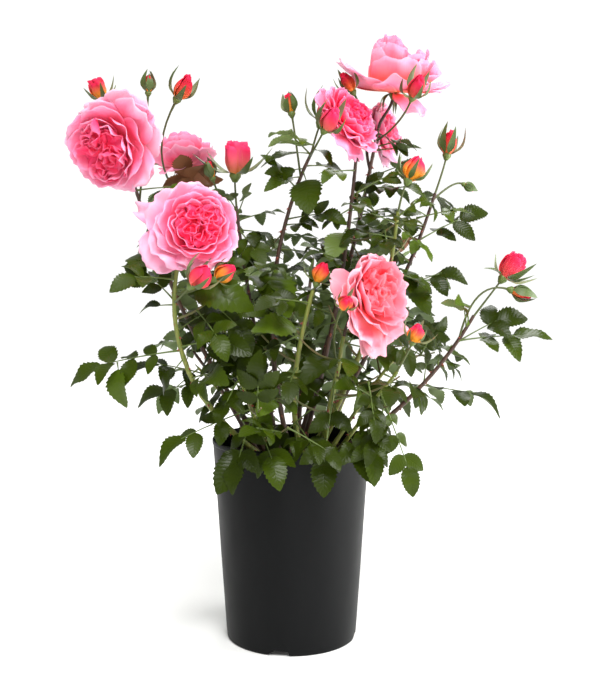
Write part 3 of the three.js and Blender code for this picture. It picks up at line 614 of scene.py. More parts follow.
    def fine_leaf(self, shoot, curve, t, share, keys):
        """One more leaf on a stem or side twig, at the first angle that leaves it room."""
        base, tangent = curve.at(t), curve.tangent(t)
        reach = share * shoot.reach * spread(*FINE["leaf_reach"], *keys, 1)
        start, tries = chance(*keys) * math.tau, FINE["tries"]
        for attempt, way in ways_out(tangent, start, tries, GROWTH["rise"], keys):
            droop = spread(*GROWTH["droop"], *keys, attempt, 3)
            pairs = 2 if attempt < tries * FINE["two_pairs"] else 1
            if chance(*keys, attempt, 4) < FINE["three_pairs"]:
                pairs = 3
            leaf = Leaf(base, way, reach, pairs, droop, (*keys, attempt), facing(base))
            points = leaf.points()
            if (in_crown(points) and points[:, 2].min() > FINE["lowest"] and not self.hides(points)
                    and self.fits(leaf, shoot, FINE["room"], FINE["sleeve"])):
                self.add_leaf(leaf, FINE["bead"])
                return

    def hides(self, points):
        """Whether a leaf hangs in front of a stem that shows from the front."""
        for name, low, high in SHOWN_STEMS:
            for t in np.linspace(low, high, STEM_PROBES):
                x, y, z = (points - self.named[name].curve.at(t)).T
                if ((np.abs(x) < STEM_ROOM) & (np.abs(z) < STEM_ROOM) & (y < 0)).any():
                    return True
        return False

    def fill(self, shoot):
        """Leaves between the source's own."""
        count = shoot.fine_leaves
        first = shoot.bare * FINE["leaf_bare"] + FINE["leaf_from"]
        for i in range(count):
            t = lerp(first, FINE["leaf_to"], (i + 0.5) / (count - 0.5))
            self.fine_leaf(shoot, shoot.curve, t, 1, (shoot.index + 1, FINE["leaf_key"] + i))

    def branch(self, shoot):
        """Side twigs with leaves of their own."""
        for i in range(shoot.twigs):
            t = lerp(FINE["twig_from"], FINE["twig_to"], (i + 0.5) / shoot.twigs)
            base, tangent = shoot.curve.at(t), shoot.curve.tangent(t)
            keys = (shoot.index + 1, FINE["twig_key"] + i)
            length = shoot.reach * spread(*FINE["twig_length"], *keys, 1)
            start = chance(*keys) * math.tau
            for _, way in ways_out(tangent, start, FINE["tries"], FINE["twig_rise"], keys):
                tip = base + way * length
                twig = Bezier(base, base + way * 0.5 * length - UP * FINE["twig_arch"] * length, tip)
                if self.twig_fits(twig, shoot):
                    self.leaf_twig(shoot, twig, keys)
                    break

    def twig_fits(self, twig, shoot):
        points = np.array([twig.at(s) for s in np.linspace(PROBES["twig_start"], 1, PROBES["twig_room"])])
        if not clear_of_pot(points) or not in_crown(points):
            return False
        near, radii = self.beads.others(shoot.index, twig.at(0.5), twig.length())
        away = np.linalg.norm(points[:, None] - near[None], axis=2)
        return bool((away > radii + LIMB_GAP).all())

    def leaf_twig(self, shoot, twig, keys):
        """Sets leaves on a side twig, which stays only if it bears one."""
        grown_before = len(self.leaves)
        for j in range(FINE["twig_leaves"]):
            share = lerp(FINE["twig_leaf_from"], FINE["leaf_to"], j / (FINE["twig_leaves"] - 1))
            self.fine_leaf(shoot, twig, share, FINE["twig_leaf_reach"], (*keys, FINE["twig_leaf_key"] + j))
        if len(self.leaves) > grown_before:
            self.twigs.append(twig)
            self.beads.along(twig, FINE["twig_radius"], OWNER_LEAF, PROBES["twig"])


@functools.lru_cache(maxsize=1)
def plant():
    return Plant()


# ---- making meshes, materials and node trees ------------------------------------------------------------
def colour(hex_code):
    """An sRGB hex colour as a linear RGBA one."""
    values = [int(hex_code[i:i + 2], 16) / 255 for i in (1, 3, 5)]
    linear = [v / 12.92 if v <= 0.04045 else ((v + 0.055) / 1.055) ** 2.4 for v in values]
    return (*linear, 1.0)


def add(tree, kind, inputs=None, **settings):
    """Adds a node with its settings, and sets or links its inputs."""
    node = tree.nodes.new(kind)
    for name, value in settings.items():
        setattr(node, name, value)
    for socket, value in (inputs or {}).items():
        if isinstance(value, bpy.types.NodeSocket):
            tree.links.new(value, node.inputs[socket])
        else:
            node.inputs[socket].default_value = value
    return node


def new_mesh(name, verts, faces=(), edges=(), scale=MM, smooth=True):
    """A mesh in metres from vertices in millimetres."""
    mesh = bpy.data.meshes.new(name)
    mesh.from_pydata((np.asarray(verts, float) * scale).tolist(), edges, [list(map(int, f)) for f in faces])
    if smooth:
        mesh.shade_smooth()
    mesh.validate()
    return mesh


def give(mesh, **attributes):
    """Writes attributes on a mesh's points: a number, a vector or a quaternion for each point."""
    kinds = {1: ("FLOAT", "value"), 3: ("FLOAT_VECTOR", "vector"), 4: ("QUATERNION", "value")}
    for label, values in attributes.items():
        values = np.asarray(values, float)
        kind, field = kinds[values.size // len(values)]
        mesh.attributes.new(label, kind, "POINT").data.foreach_set(field, values.ravel())
    return mesh


def lay_uv(mesh, name, places):
    """A UV map from one place for each vertex."""
    corners = [loop.vertex_index for loop in mesh.loops]
    mesh.uv_layers.new(name=name).data.foreach_set("uv", np.asarray(places, float)[corners].ravel())


def new_object(name, data):
    made = bpy.data.objects.new(name, data)
    bpy.context.scene.collection.objects.link(made)
    return made


def discard(objects):
    for each in objects:
        bpy.data.objects.remove(each)


def settled(piece):
    """Turns a piece with live modifiers into its plain mesh."""
    evaluated = piece.evaluated_get(bpy.context.evaluated_depsgraph_get())
    mesh = bpy.data.meshes.new_from_object(evaluated)
    piece.modifiers.clear()
    piece.data = mesh
    mesh.name = piece.name
    return piece


def finished(piece, slot, *nodes):
    """Rides a piece on the plant's one body and hides the frame's nodes that it stands for. Its finish is not
    used.
    """
    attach(piece, "root")
    if nodes:
        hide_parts(*nodes)


def node_tree(name, **sockets):
    """A geometry tree with named inputs, and what its input node puts out."""
    tree = bpy.data.node_groups.new(name, "GeometryNodeTree")
    for way in ("INPUT", "OUTPUT"):
        tree.interface.new_socket("Geometry", in_out=way, socket_type="NodeSocketGeometry")
    for label, kind in sockets.items():
        tree.interface.new_socket(label.replace("_", " "), in_out="INPUT", socket_type="NodeSocket" + kind)
    return tree, tree.nodes.new("NodeGroupInput").outputs


def end_tree(tree, geometry, *finishes):
    """Realizes whatever the tree made, gives it each material where it is selected, and puts it out."""
    made = add(tree, "GeometryNodeRealizeInstances", {"Geometry": geometry})
    for material, where in finishes:
        made = add(tree, "GeometryNodeSetMaterial",
                   {"Geometry": made.outputs[0], "Selection": where, "Material": material})
    add(tree, "NodeGroupOutput", {0: made.outputs[0]})
    return tree


def grown(name, mesh, tree, **values):
    """A piece that a node tree makes on a mesh, with the tree's inputs set by their identifiers."""
    piece = new_object(name, mesh)
    modifier = piece.modifiers.new("Grow", "NODES")
    modifier.node_group = tree
    for item in tree.interface.items_tree:
        label = item.name.replace(" ", "_")
        if item.in_out == "INPUT" and label in values:
            modifier[item.identifier] = values[label]
    return settled(piece)


@functools.lru_cache(maxsize=None)
def limb_tree():
    """Closed tubes round polylines, as thick as each point says, with a little relief on their skin."""
    tree, given = node_tree("Limbs", Sides="Int", Relief="Float", Relief_scale="Float", Bark="Material")
    curves = add(tree, "GeometryNodeMeshToCurve", {"Mesh": given["Geometry"]})
    thickness = add(tree, "GeometryNodeInputNamedAttribute", {"Name": "thickness"}, data_type="FLOAT")
    ring = add(tree, "GeometryNodeCurvePrimitiveCircle", {"Resolution": given["Sides"], "Radius": 1.0})
    tubes = add(tree, "GeometryNodeCurveToMesh",
                {"Curve": curves.outputs["Curve"], "Profile Curve": ring.outputs["Curve"],
                 "Scale": thickness.outputs["Attribute"], "Fill Caps": True})
    noise = add(tree, "ShaderNodeTexNoise", {"Scale": given["Relief scale"], "Detail": 3.0})
    level = add(tree, "ShaderNodeMath", {0: noise.outputs[0], 1: 0.5}, operation="SUBTRACT")
    height = add(tree, "ShaderNodeMath", {0: level.outputs[0], 1: given["Relief"]}, operation="MULTIPLY")
    normal = add(tree, "GeometryNodeInputNormal")
    offset = add(tree, "ShaderNodeVectorMath", {0: normal.outputs["Normal"], "Scale": height.outputs[0]},
                 operation="SCALE")
    rough = add(tree, "GeometryNodeSetPosition", {"Geometry": tubes.outputs[0], "Offset": offset.outputs[0]})
    smooth = add(tree, "GeometryNodeSetShadeSmooth", {"Geometry": rough.outputs[0]})
    return end_tree(tree, smooth.outputs[0], (given["Bark"], True))


@functools.lru_cache(maxsize=None)
def blade_tree():
    """Blades on points: a point's form picks one of three templates; undersides get their own finish."""
    tree, given = node_tree("Blades", Template_0="Object", Template_1="Object", Template_2="Object",
                            Upper="Material", Under="Material")
    kinds = dict(form="FLOAT", turn="QUATERNION", size="FLOAT_VECTOR", underside="BOOLEAN")
    nodes = {name: add(tree, "GeometryNodeInputNamedAttribute", {"Name": name}, data_type=kind)
             for name, kind in kinds.items()}
    read = {name: node.outputs["Attribute"] for name, node in nodes.items()}
    join = add(tree, "GeometryNodeJoinGeometry")
    for k in range(3):
        info = add(tree, "GeometryNodeObjectInfo", {"Object": given[f"Template {k}"]})
        chosen = add(tree, "FunctionNodeCompare", {"A": read["form"], "B": float(k), "Epsilon": 0.1},
                     data_type="FLOAT", operation="EQUAL")
        placed = add(tree, "GeometryNodeInstanceOnPoints", {
            "Points": given["Geometry"], "Selection": chosen.outputs[0], "Instance": info.outputs["Geometry"],
            "Rotation": read["turn"], "Scale": read["size"]})
        tree.links.new(placed.outputs[0], join.inputs[0])
    return end_tree(tree, join.outputs[0], (given["Upper"], True), (given["Under"], read["underside"]))


@functools.lru_cache(maxsize=None)
def crumb_tree():
    """Crumbs of many sizes strewn on upward faces, kept with the mesh they lie on."""
    tree, given = node_tree("Crumbs", Crumb="Object", Density="Float", Seed="Int", Finish="Material")
    normal = add(tree, "GeometryNodeInputNormal")
    axes = add(tree, "ShaderNodeSeparateXYZ", {0: normal.outputs["Normal"]})
    upward = add(tree, "FunctionNodeCompare", {"A": axes.outputs["Z"], "B": 0.5}, data_type="FLOAT",
                 operation="GREATER_THAN")
    strewn = add(tree, "GeometryNodeDistributePointsOnFaces",
                 {"Mesh": given["Geometry"], "Selection": upward.outputs[0], "Density": given["Density"],
                  "Seed": given["Seed"]})
    size = add(tree, "FunctionNodeRandomValue", {"Min": (0.5, 0.5, 0.4), "Max": (2.2, 1.6, 1.3)},
               data_type="FLOAT_VECTOR")
    turn = add(tree, "FunctionNodeRandomValue", {"Max": (6.28, 6.28, 6.28)}, data_type="FLOAT_VECTOR")
    crumb = add(tree, "GeometryNodeObjectInfo", {"Object": given["Crumb"]})
    placed = add(tree, "GeometryNodeInstanceOnPoints",
                 {"Points": strewn.outputs["Points"], "Instance": crumb.outputs["Geometry"],
                  "Rotation": turn.outputs["Value"], "Scale": size.outputs["Value"]})
    both = add(tree, "GeometryNodeJoinGeometry", {0: placed.outputs[0]})
    tree.links.new(given["Geometry"], both.inputs[0])
    return end_tree(tree, both.outputs[0], (given["Finish"], True))


# ---- materials ------------------------------------------------------------------------------------------
def new_material(name, base, roughness, **settings):
    """A Principled material with plain values, and its tree and shader to build on."""
    material = bpy.data.materials.new(name)
    material.use_nodes = True
    tree = material.node_tree
    shader = tree.nodes["Principled BSDF"]
    shader.inputs["Base Color"].default_value = colour(base)
    shader.inputs["Roughness"].default_value = roughness
    for socket, value in settings.items():
        shader.inputs[socket.replace("_", " ")].default_value = value
    return material, tree, shader


def ramp(tree, factor, stops):
    """A colour ramp with (place, hex colour) stops."""
    node = add(tree, "ShaderNodeValToRGB", {"Fac": factor})
    elements = node.color_ramp.elements
    while len(elements) < len(stops):
        elements.new(0.5)
    for element, (place, hex_code) in zip(elements, stops):
        element.position = place
        element.color = colour(hex_code)
    return node.outputs["Color"]


def object_noise(tree, size_mm, detail=4.0, stretch=(1, 1, 1)):
    """Noise with features about so many millimetres across."""
    where = add(tree, "ShaderNodeTexCoord")
    scale = [s / (size_mm * MM) for s in stretch]
    mapped = add(tree, "ShaderNodeMapping", {"Vector": where.outputs["Object"], "Scale": scale})
    noise = add(tree, "ShaderNodeTexNoise", {"Vector": mapped.outputs[0], "Scale": 1.0, "Detail": detail})
    return noise.outputs["Fac"]


def bump(tree, shader, height, distance_mm, strength=1.0):
    node = add(tree, "ShaderNodeBump", {"Height": height, "Distance": distance_mm * MM, "Strength": strength})
    tree.links.new(node.outputs[0], shader.inputs["Normal"])


def polypropylene_pot():
    """Recycled black polypropylene, blow-moulded thin: a satin skin, faintly mottled."""
    material, tree, shader = new_material("moulded_polypropylene", "#08090A", 0.42, Specular_IOR_Level=0.12)
    mottle = ramp(tree, object_noise(tree, 60, 5.0, (1, 1, 0.35)), [(0.3, "#060708"), (0.7, "#0B0C0D")])
    tree.links.new(mottle, shader.inputs["Base Color"])
    gloss = add(tree, "ShaderNodeMapRange", {"Value": object_noise(tree, 18, 6.0, (1, 1, 0.5)),
                                             "To Min": 0.38, "To Max": 0.54})
    tree.links.new(gloss.outputs["Result"], shader.inputs["Roughness"])
    bump(tree, shader, object_noise(tree, 1.6, 3.0), 0.05, 0.5)
    return material


def peat_compost():
    """Peat and bark fines: dark, matt and crumbly, with paler fibres."""
    material, tree, shader = new_material("peat_compost", "#2A1D15", 0.95)
    grains = object_noise(tree, 4, 8.0)
    tree.links.new(ramp(tree, grains, [(0.3, "#150E0A"), (0.55, "#33241A"), (0.75, "#5A4433")]),
                   shader.inputs["Base Color"])
    bump(tree, shader, grains, 1.5)
    return material


def young_bark(name, base, streak):
    """Young rose bark: smooth and waxy, with fine lengthwise streaks and pale pores."""
    material, tree, shader = new_material(name, base, 0.5)
    streaks = object_noise(tree, 3, 4.0, (1, 1, 0.15))
    tree.links.new(ramp(tree, streaks, [(0.35, base), (0.7, streak)]), shader.inputs["Base Color"])
    bump(tree, shader, object_noise(tree, 1.2, 3.0, (1, 1, 0.4)), 0.12, 0.6)
    return material


VEIN_PAIRS = 9


def leaf_blade(name, base):
    """A rose leaflet: a waxy upper side, quilted between a sunk midrib and curved side veins."""
    material, tree, shader = new_material(name, base, 0.3, Specular_IOR_Level=0.15)
    uv = add(tree, "ShaderNodeUVMap", uv_map="Leaf")
    axes = add(tree, "ShaderNodeSeparateXYZ", {0: uv.outputs[0]})
    from_rib = add(tree, "ShaderNodeMath", {0: axes.outputs["X"], 1: 0.5}, operation="SUBTRACT")
    across = add(tree, "ShaderNodeMath", {0: from_rib.outputs[0]}, operation="ABSOLUTE")
    lean = add(tree, "ShaderNodeMath", {0: across.outputs[0], 1: -0.42, 2: axes.outputs["Y"]},
               operation="MULTIPLY_ADD")
    phase = add(tree, "ShaderNodeMath", {0: lean.outputs[0], 1: VEIN_PAIRS * math.pi}, operation="MULTIPLY")
    wave = add(tree, "ShaderNodeMath", {0: phase.outputs[0]}, operation="SINE")
    vein = add(tree, "ShaderNodeMath", {0: wave.outputs[0]}, operation="ABSOLUTE")
    quilt = add(tree, "ShaderNodeMath", {0: vein.outputs[0], 1: 0.8}, operation="POWER")
    rib = add(tree, "ShaderNodeMapRange", {"Value": across.outputs[0], "From Max": 0.05})
    height = add(tree, "ShaderNodeMath", {0: quilt.outputs[0], 1: rib.outputs["Result"]},
                 operation="MULTIPLY")
    bump(tree, shader, height.outputs[0], 0.2, 0.6)
    return material


def leaf_underside(name, base):
    """The underside: paler, greyer and matt, without the wax."""
    return new_material(name, base, 0.62, Specular_IOR_Level=0.25)[0]


PETAL_STOPS = [(0.0, "#FFC0DA"), (0.22, "#FF98BC"), (0.48, "#FF6690"), (0.75, "#FF3468"), (1.0, "#FF1248")]
BUD_STOPS = [(0.0, "#F65C90"), (0.35, "#EC2458"), (0.7, "#D01234"), (1.0, "#980A22")]


def petal_silk(name, stops, foot):
    """Rose petal: soft and velvety, light shines a little through it, and its colour deepens to its foot.

    Where each tint falls is written on the petals as two attributes: blush, from pale edge to deep heart,
    and warm, the peach at a petal's foot.
    """
    material, tree, shader = new_material(
        name, stops[1][1], 0.6, Subsurface_Weight=0.3, Subsurface_Scale=0.005,
        Subsurface_Radius=(1.0, 0.6, 0.55), Specular_IOR_Level=0.15)
    blush = add(tree, "ShaderNodeAttribute", attribute_name="blush")
    warm = add(tree, "ShaderNodeAttribute", attribute_name="warm")
    tint = ramp(tree, blush.outputs["Fac"], stops)
    mixed = add(tree, "ShaderNodeMix", {"Factor": warm.outputs["Fac"], "A": tint, "B": colour(foot)},
                data_type="RGBA")
    tree.links.new(mixed.outputs["Result"], shader.inputs["Base Color"])
    uv = add(tree, "ShaderNodeUVMap", uv_map="Petal")
    stretched = add(tree, "ShaderNodeMapping", {"Vector": uv.outputs[0], "Scale": (34, 3, 1)})
    veins = add(tree, "ShaderNodeTexNoise", {"Vector": stretched.outputs[0], "Scale": 1.0, "Detail": 3.0})
    bump(tree, shader, veins.outputs["Fac"], 0.35, 0.5)
    return material


def waxy_green(name, base):
    """Stalk and calyx skin: a smooth waxy green with a fine grain."""
    material, tree, shader = new_material(name, base, 0.48)
    bump(tree, shader, object_noise(tree, 1.0, 3.0), 0.08, 0.5)
    return material


def prickle_horn():
    """Rose prickle: a smooth horny cone, red-brown."""
    return new_material("prickle_horn", "#8A3F2E", 0.4)[0]


def floor_plaster():
    """A pale matt floor that takes soft shadows."""
    return new_material("pale_floor", "#FAFAF8", 0.9)[0]


# ---- the pot and its compost ----------------------------------------------------------------------------
def lathe(profile, sides, place=lambda p: p):
    """Vertices and faces of a profile of (radius, height) from axis to axis, turned about +Z."""
    angles = np.arange(sides) * math.tau / sides
    rings = profile[1:-1]
    verts = [(0, 0, profile[0][1])]
    for radius, height in rings:
        verts += [(radius * math.cos(a), radius * math.sin(a), height) for a in angles]
    verts.append((0, 0, profile[-1][1]))
    last = len(verts) - 1
    top = last - sides
    faces = []
    for i in range(sides):
        j = (i + 1) % sides
        faces.append((0, 1 + j, 1 + i))
        for low in range(1, top, sides):
            faces.append((low + i, low + j, low + sides + j, low + sides + i))
        faces.append((top + i, top + j, last))
    return [place(vec(v)) for v in verts], faces


def pot_profile():
    """From the middle of the underside out, up the wall, over the rim and down inside."""
    height, wall, rounding, rim = POT["height"], POT["wall"], POT["foot_round"], POT["rim"]
    lip_foot = height - POT["lip_height"]
    edge = wall / 2
    corner = [(POT["foot"] - rounding + rounding * math.sin(a), rounding - rounding * math.cos(a))
              for a in np.linspace(0, math.pi / 2, POT["corner_rings"])]
    flank = [(wall_at(z), z)
             for z in np.linspace(POT["flank_low"], lip_foot - POT["under_lip"], POT["flank_rings"])]
    lip = [(wall_at(lip_foot), lip_foot), (rim - POT["lip_round"], lip_foot + POT["lip_slope"])]
    brim = [(rim - edge + edge * math.cos(a), height - edge + edge * math.sin(a))
            for a in np.linspace(0, math.pi, POT["brim_rings"])]
    inside = [(wall_at(z) - wall, z)
              for z in np.linspace(lip_foot, COMPOST_TOP - POT["below_compost"], POT["inside_rings"])]
    floor = [(POT["foot"] - wall, POT["floor"]), (0, POT["floor"])]
    return [(0, 0), *corner, *flank, *lip, *brim, *inside, *floor]


def notch_mesh(angle):
    """The block that one drain notch is cut with."""
    half, rise, below = NOTCHES["half_width"], NOTCHES["rise"], -NOTCHES["below"]
    outline = [(-half, below), (half, below), (NOTCHES["steep"] * half, rise), (NOTCHES["slow"] * half, rise)]
    out = vec((math.cos(angle), math.sin(angle), 0))
    across = vec((-math.sin(angle), math.cos(angle), 0))
    near = POT["foot"] - NOTCHES["inward"]
    verts = [across * a + UP * z + out * (near + depth)
             for depth in (0, NOTCHES["through"]) for a, z in outline]
    faces = [(3, 2, 1, 0), (4, 5, 6, 7)] + [(i, (i + 1) % 4, (i + 1) % 4 + 4, i + 4) for i in range(4)]
    return new_mesh("notch", verts, faces, smooth=False)


def make_pot():
    piece = new_object("nursery_pot", new_mesh("pot", *lathe(pot_profile(), POT["sides"])))
    cutters = []
    for k in range(NOTCHES["count"]):
        angle = math.radians(NOTCHES["first"] + 360 * k / NOTCHES["count"])
        cutters.append(new_object(f"notch_{k}", notch_mesh(angle)))
        cut = piece.modifiers.new("Notch", "BOOLEAN")
        cut.object = cutters[-1]
        cut.operation = "DIFFERENCE"
        cut.solver = "EXACT"
    settled(piece)
    discard(cutters)
    piece.data.shade_smooth()
    piece.data.set_sharp_from_angle(angle=POT["sharp"])
    piece.data.materials.clear()
    piece.data.materials.append(polypropylene_pot())
    finished(piece, "pot", "pot")


def compost_mesh():
    """The compost's uneven top, with a skirt down the wall and a flat bottom."""
    edge = wall_at(COMPOST_TOP) - POT["wall"] - 2 * GAP
    foot = COMPOST_TOP - COMPOST["depth"]
    profile = [(0, foot), (edge - COMPOST["bevel"], foot), (edge, COMPOST_TOP - COMPOST["shoulder"])]
    profile += [(edge * s, COMPOST_TOP)
                for s in np.linspace(COMPOST["outer"], COMPOST["inner"], COMPOST["rings"])]

    def rough(p):
        if p[2] < COMPOST_TOP - COMPOST["skirt"]:
            return p
        wave = math.sin(0.09 * p[0] + 1.0) * math.cos(0.11 * p[1]) + 0.5 * math.sin(0.3 * p[0] + 0.23 * p[1])
        return p + UP * (COMPOST["wave"] * wave - COMPOST["dip"])

    return new_mesh("compost", *lathe([*profile, (0, COMPOST_TOP)], COMPOST["sides"], rough))


# A crumb's profile in millimetres, how many sides it has and how uneven they are.
CRUMB = dict(profile=((0, -1), (0.8, -0.7), (1.1, 0.1), (0.7, 0.8), (0, 1)), sides=6, uneven=0.25)


def crumb_template():
    """A small lump with uneven sides."""
    verts, faces = lathe(CRUMB["profile"], CRUMB["sides"])
    verts = [v * spread(1, CRUMB["uneven"], i, 7) for i, v in enumerate(verts)]
    return new_object("crumb", new_mesh("crumb", verts, faces, smooth=False))


def make_compost(settings):
    crumb = crumb_template()
    piece = grown("peat_compost", compost_mesh(), crumb_tree(), Crumb=crumb, Density=settings.crumb_density,
                  Seed=COMPOST["seed"], Finish=peat_compost())
    discard([crumb])
    finished(piece, "compost", "compost")


# ---- canes, twigs and stalks ----------------------------------------------------------------------------
BEARING = {spec["shoot"] for spec in BLOOMS if spec["at"] == 1} | {row[0] for row in BUDS if row[1] == 1}
# How a cane's skin varies: its scars along it, how much they swell it and how sharply, its flared foot, how
# it sways from its curve and how fast the sway sets in, how its tip thins, and how fine its relief is.
SKIN = dict(scars=15, scar=0.14, scar_sharp=9, flare=0.55, flare_fall=28, sway=0.8, sway_turns=9,
            sway_ends=6, step=4, tip=0.3, tip_fall=9, relief_scale=260.0)
# Each kind of cane's bark and the streaks in it.
CANE_KINDS = (("red", "#37241A", "#553A2A"), ("green", "#66762A", "#86843E"))
# How each kind of stalk runs, in millimetres: its steps, its radius at foot and tip, how far one end of it
# swells and how fast that falls, and whether that end is its foot.
STALKS = dict(twig=(12, FINE["twig_radius"], FINE["twig_tip_radius"]), rachis=(6, 1.0, 0.55, 0.5, 14, True),
              bud=(12, 1.35, 1.05, 0.6, 16), bloom=(16, 1.9, 1.75, 1.2, 16))
# How far a leaf's stalk arches, as a share of its reach.
RACHIS_ARCH = 0.02


def make_limbs(name, lines, slot, nodes, bark, sides, relief=0.15 * MM, relief_scale=400.0):
    """A piece of limbs, each a list of points and a list of the thickness at each."""
    edges, first = [], 0
    for path, _ in lines:
        edges += [(first + i, first + i + 1) for i in range(len(path) - 1)]
        first += len(path)
    mesh = new_mesh(name, [p for path, _ in lines for p in path], edges=edges, smooth=False)
    give(mesh, thickness=np.array([r for _, radii in lines for r in radii]) * MM)
    piece = grown(name, mesh, limb_tree(), Sides=sides, Relief=relief, Relief_scale=relief_scale, Bark=bark)
    finished(piece, slot, *nodes)


def shoot_line(shoot):
    """A shoot from its flared foot to its tip, swollen a little at each leaf scar."""
    path, radii = [], []
    steps = int(shoot.curve.length() / SKIN["step"])
    for t in (i / steps for i in range(steps + 1)):
        scar = max(0, 1 - abs((t * SKIN["scars"] + chance(shoot.index, 5)) % 1 - 0.5) * SKIN["scar_sharp"])
        flare = 1 + SKIN["flare"] * math.exp(-t * SKIN["flare_fall"])
        settle = min(1, SKIN["sway_ends"] * t, SKIN["sway_ends"] * (1 - t))
        sway = SKIN["sway"] * math.sin(SKIN["sway_turns"] * t + shoot.index) * settle
        path.append(shoot.curve.at(t) + square_to(shoot.curve.tangent(t), shoot.index) * sway)
        tip = 1 if shoot.name in BEARING else min(1, SKIN["tip"] + SKIN["tip_fall"] * (1 - t))
        radii.append(shoot.radius_at(t) * (flare + SKIN["scar"] * scar) * tip)
    return path, radii


def make_canes(settings):
    for kind, base, streak in CANE_KINDS:
        shoots = [shoot for shoot in plant().shoots if (shoot.name in RED_CANES) == (kind == "red")]
        make_limbs(f"canes_{kind}", [shoot_line(shoot) for shoot in shoots], "bark",
                   [f"cane_{shoot.name}" for shoot in shoots], young_bark(f"young_bark_{kind}", base, streak),
                   settings.cane_sides, settings.cane_relief, SKIN["relief_scale"])


def stalk_line(curve, steps, foot, tip, swell=0.0, fall=1.0, from_foot=False):
    """A stalk that tapers from foot to tip in millimetres, and swells at one end of it."""
    at = np.linspace(0, 1, steps + 1)
    ends = at if from_foot else 1 - at
    return [curve.at(t) for t in at], [lerp(foot, tip, t) + swell * math.exp(-fall * end)
                                       for t, end in zip(at, ends)]


def rachis_curve(leaf):
    """A leaf's stalk in a low arch to its last leaflet."""
    base, end = leaf.rachis.points[0], leaf.rachis.points[-1]
    return Bezier(base, lerp(base, end, 0.5) + UP * RACHIS_ARCH * leaf.reach, end)


def foliage_nodes():
    return [f"foliage_{shoot.name}" for shoot in plant().shoots]


def make_twigs():
    grower = plant()
    twigs = [stalk_line(twig, *STALKS["twig"]) for twig in grower.twigs]
    rachises = [stalk_line(rachis_curve(leaf), *STALKS["rachis"]) for leaf in grower.leaves]
    bud_stalks = [stalk_line(bud["stalk"], *STALKS["bud"]) for bud in grower.buds]
    bloom_stalks = [stalk_line(bloom_stalk(bloom), *STALKS["bloom"]) for bloom in grower.blooms]
    make_limbs("side_twigs", twigs, "bark", (), young_bark("twig_bark", "#55602F", "#6F5A3A"), 8)
    make_limbs("leaf_stalks", rachises, "foliage", foliage_nodes(),
               waxy_green("leaf_stalk_green", "#56682A"), 5)
    make_limbs("bud_stalks", bud_stalks, "foliage", (), waxy_green("stalk_green", "#4B5527"), 7)
    make_limbs("bloom_stalks", bloom_stalks, "foliage", (), waxy_green("stalk_red", "#3B2A1C"), 8)


# ---- blades: leaflets, sepals, prickles -----------------------------------------------------------------
def blade_template(name, outline, rise, thickness):
    """A thin closed blade of unit length along +X, with its upper side up.

    outline lists (share of its length, half width), and rise(share, side) is the height of its skin.
    """
    inner = outline[1:-1]
    widest = max(half for _, half in outline)
    verts = [(0, 0, rise(0, 0)), (1, 0, rise(1, 0))]
    uv = [(0.5, 0), (0.5, 1)]
    for t, half in inner:
        edge = half / widest
        verts += [(t, half, rise(t, edge)), (t, -half, rise(t, -edge)), (t, 0, rise(t, 0) + thickness / 2),
                  (t, 0, rise(t, 0) - thickness / 2)]
        uv += [(1, t), (0, t), (0.5, t), (0.5, t)]
    left, right, top, low = 2, 3, 4, 5
    last = 4 * (len(inner) - 1)
    faces, under = [], []
    for skin, flip in ((top, False), (low, True)):
        strip = [(0, skin, left), (0, right, skin)]
        for a in range(0, last, 4):
            b = a + 4
            strip += [(skin + a, skin + b, left + b), (skin + a, left + b, left + a),
                      (right + a, right + b, skin + b), (right + a, skin + b, skin + a)]
        strip += [(skin + last, 1, left + last), (right + last, 1, skin + last)]
        faces += [face[::-1] if flip else face for face in strip]
        under += [flip] * len(strip)
    mesh = new_mesh(name, verts, faces, scale=1)
    mesh.attributes.new("underside", "BOOLEAN", "FACE").data.foreach_set("value", under)
    middle = {skin + a for a in range(0, last + 1, 4) for skin in (top, low)}
    rim = [not set(edge.vertices) & middle for edge in mesh.edges]
    mesh.attributes.new("sharp_edge", "BOOLEAN", "EDGE").data.foreach_set("value", rim)
    lay_uv(mesh, "Leaf", uv)
    return new_object(name, mesh)


def blades(name, rows, templates, upper, under):
    """A piece of blades, from rows of base, axis, normal, length, breadth and form."""
    bases, axes, normals, lengths, breadths, forms = zip(*rows)
    turns = [Matrix(np.column_stack((axis, np.cross(normal, axis), normal)).tolist()).to_quaternion()
             for axis, normal in zip(axes, normals)]
    sizes = [(length, length * breadth, length) for length, breadth in zip(lengths, breadths)]
    mesh = give(new_mesh(name, bases, smooth=False), turn=turns, size=np.array(sizes) * MM, form=forms)
    chosen = {f"Template_{k}": templates[k % len(templates)] for k in range(3)}
    return grown(name, mesh, blade_tree(), Upper=upper, Under=under, **chosen)


# A leaflet of unit length: its half width and where it is widest, how its outline fills out at foot and
# tip, its teeth and the valleys between them, its thickness, and how its breadth varies from leaf to leaf.
LEAFLET = dict(half_width=0.31, widest=0.414, foot=0.6, tip=0.85, teeth=9, first_tooth=0.035,
               last_tooth=0.94, valley=0.9, point=1.06, point_at=0.8, thickness=0.012, breadth_range=0.08)
SEPAL_THICKNESS = 0.03


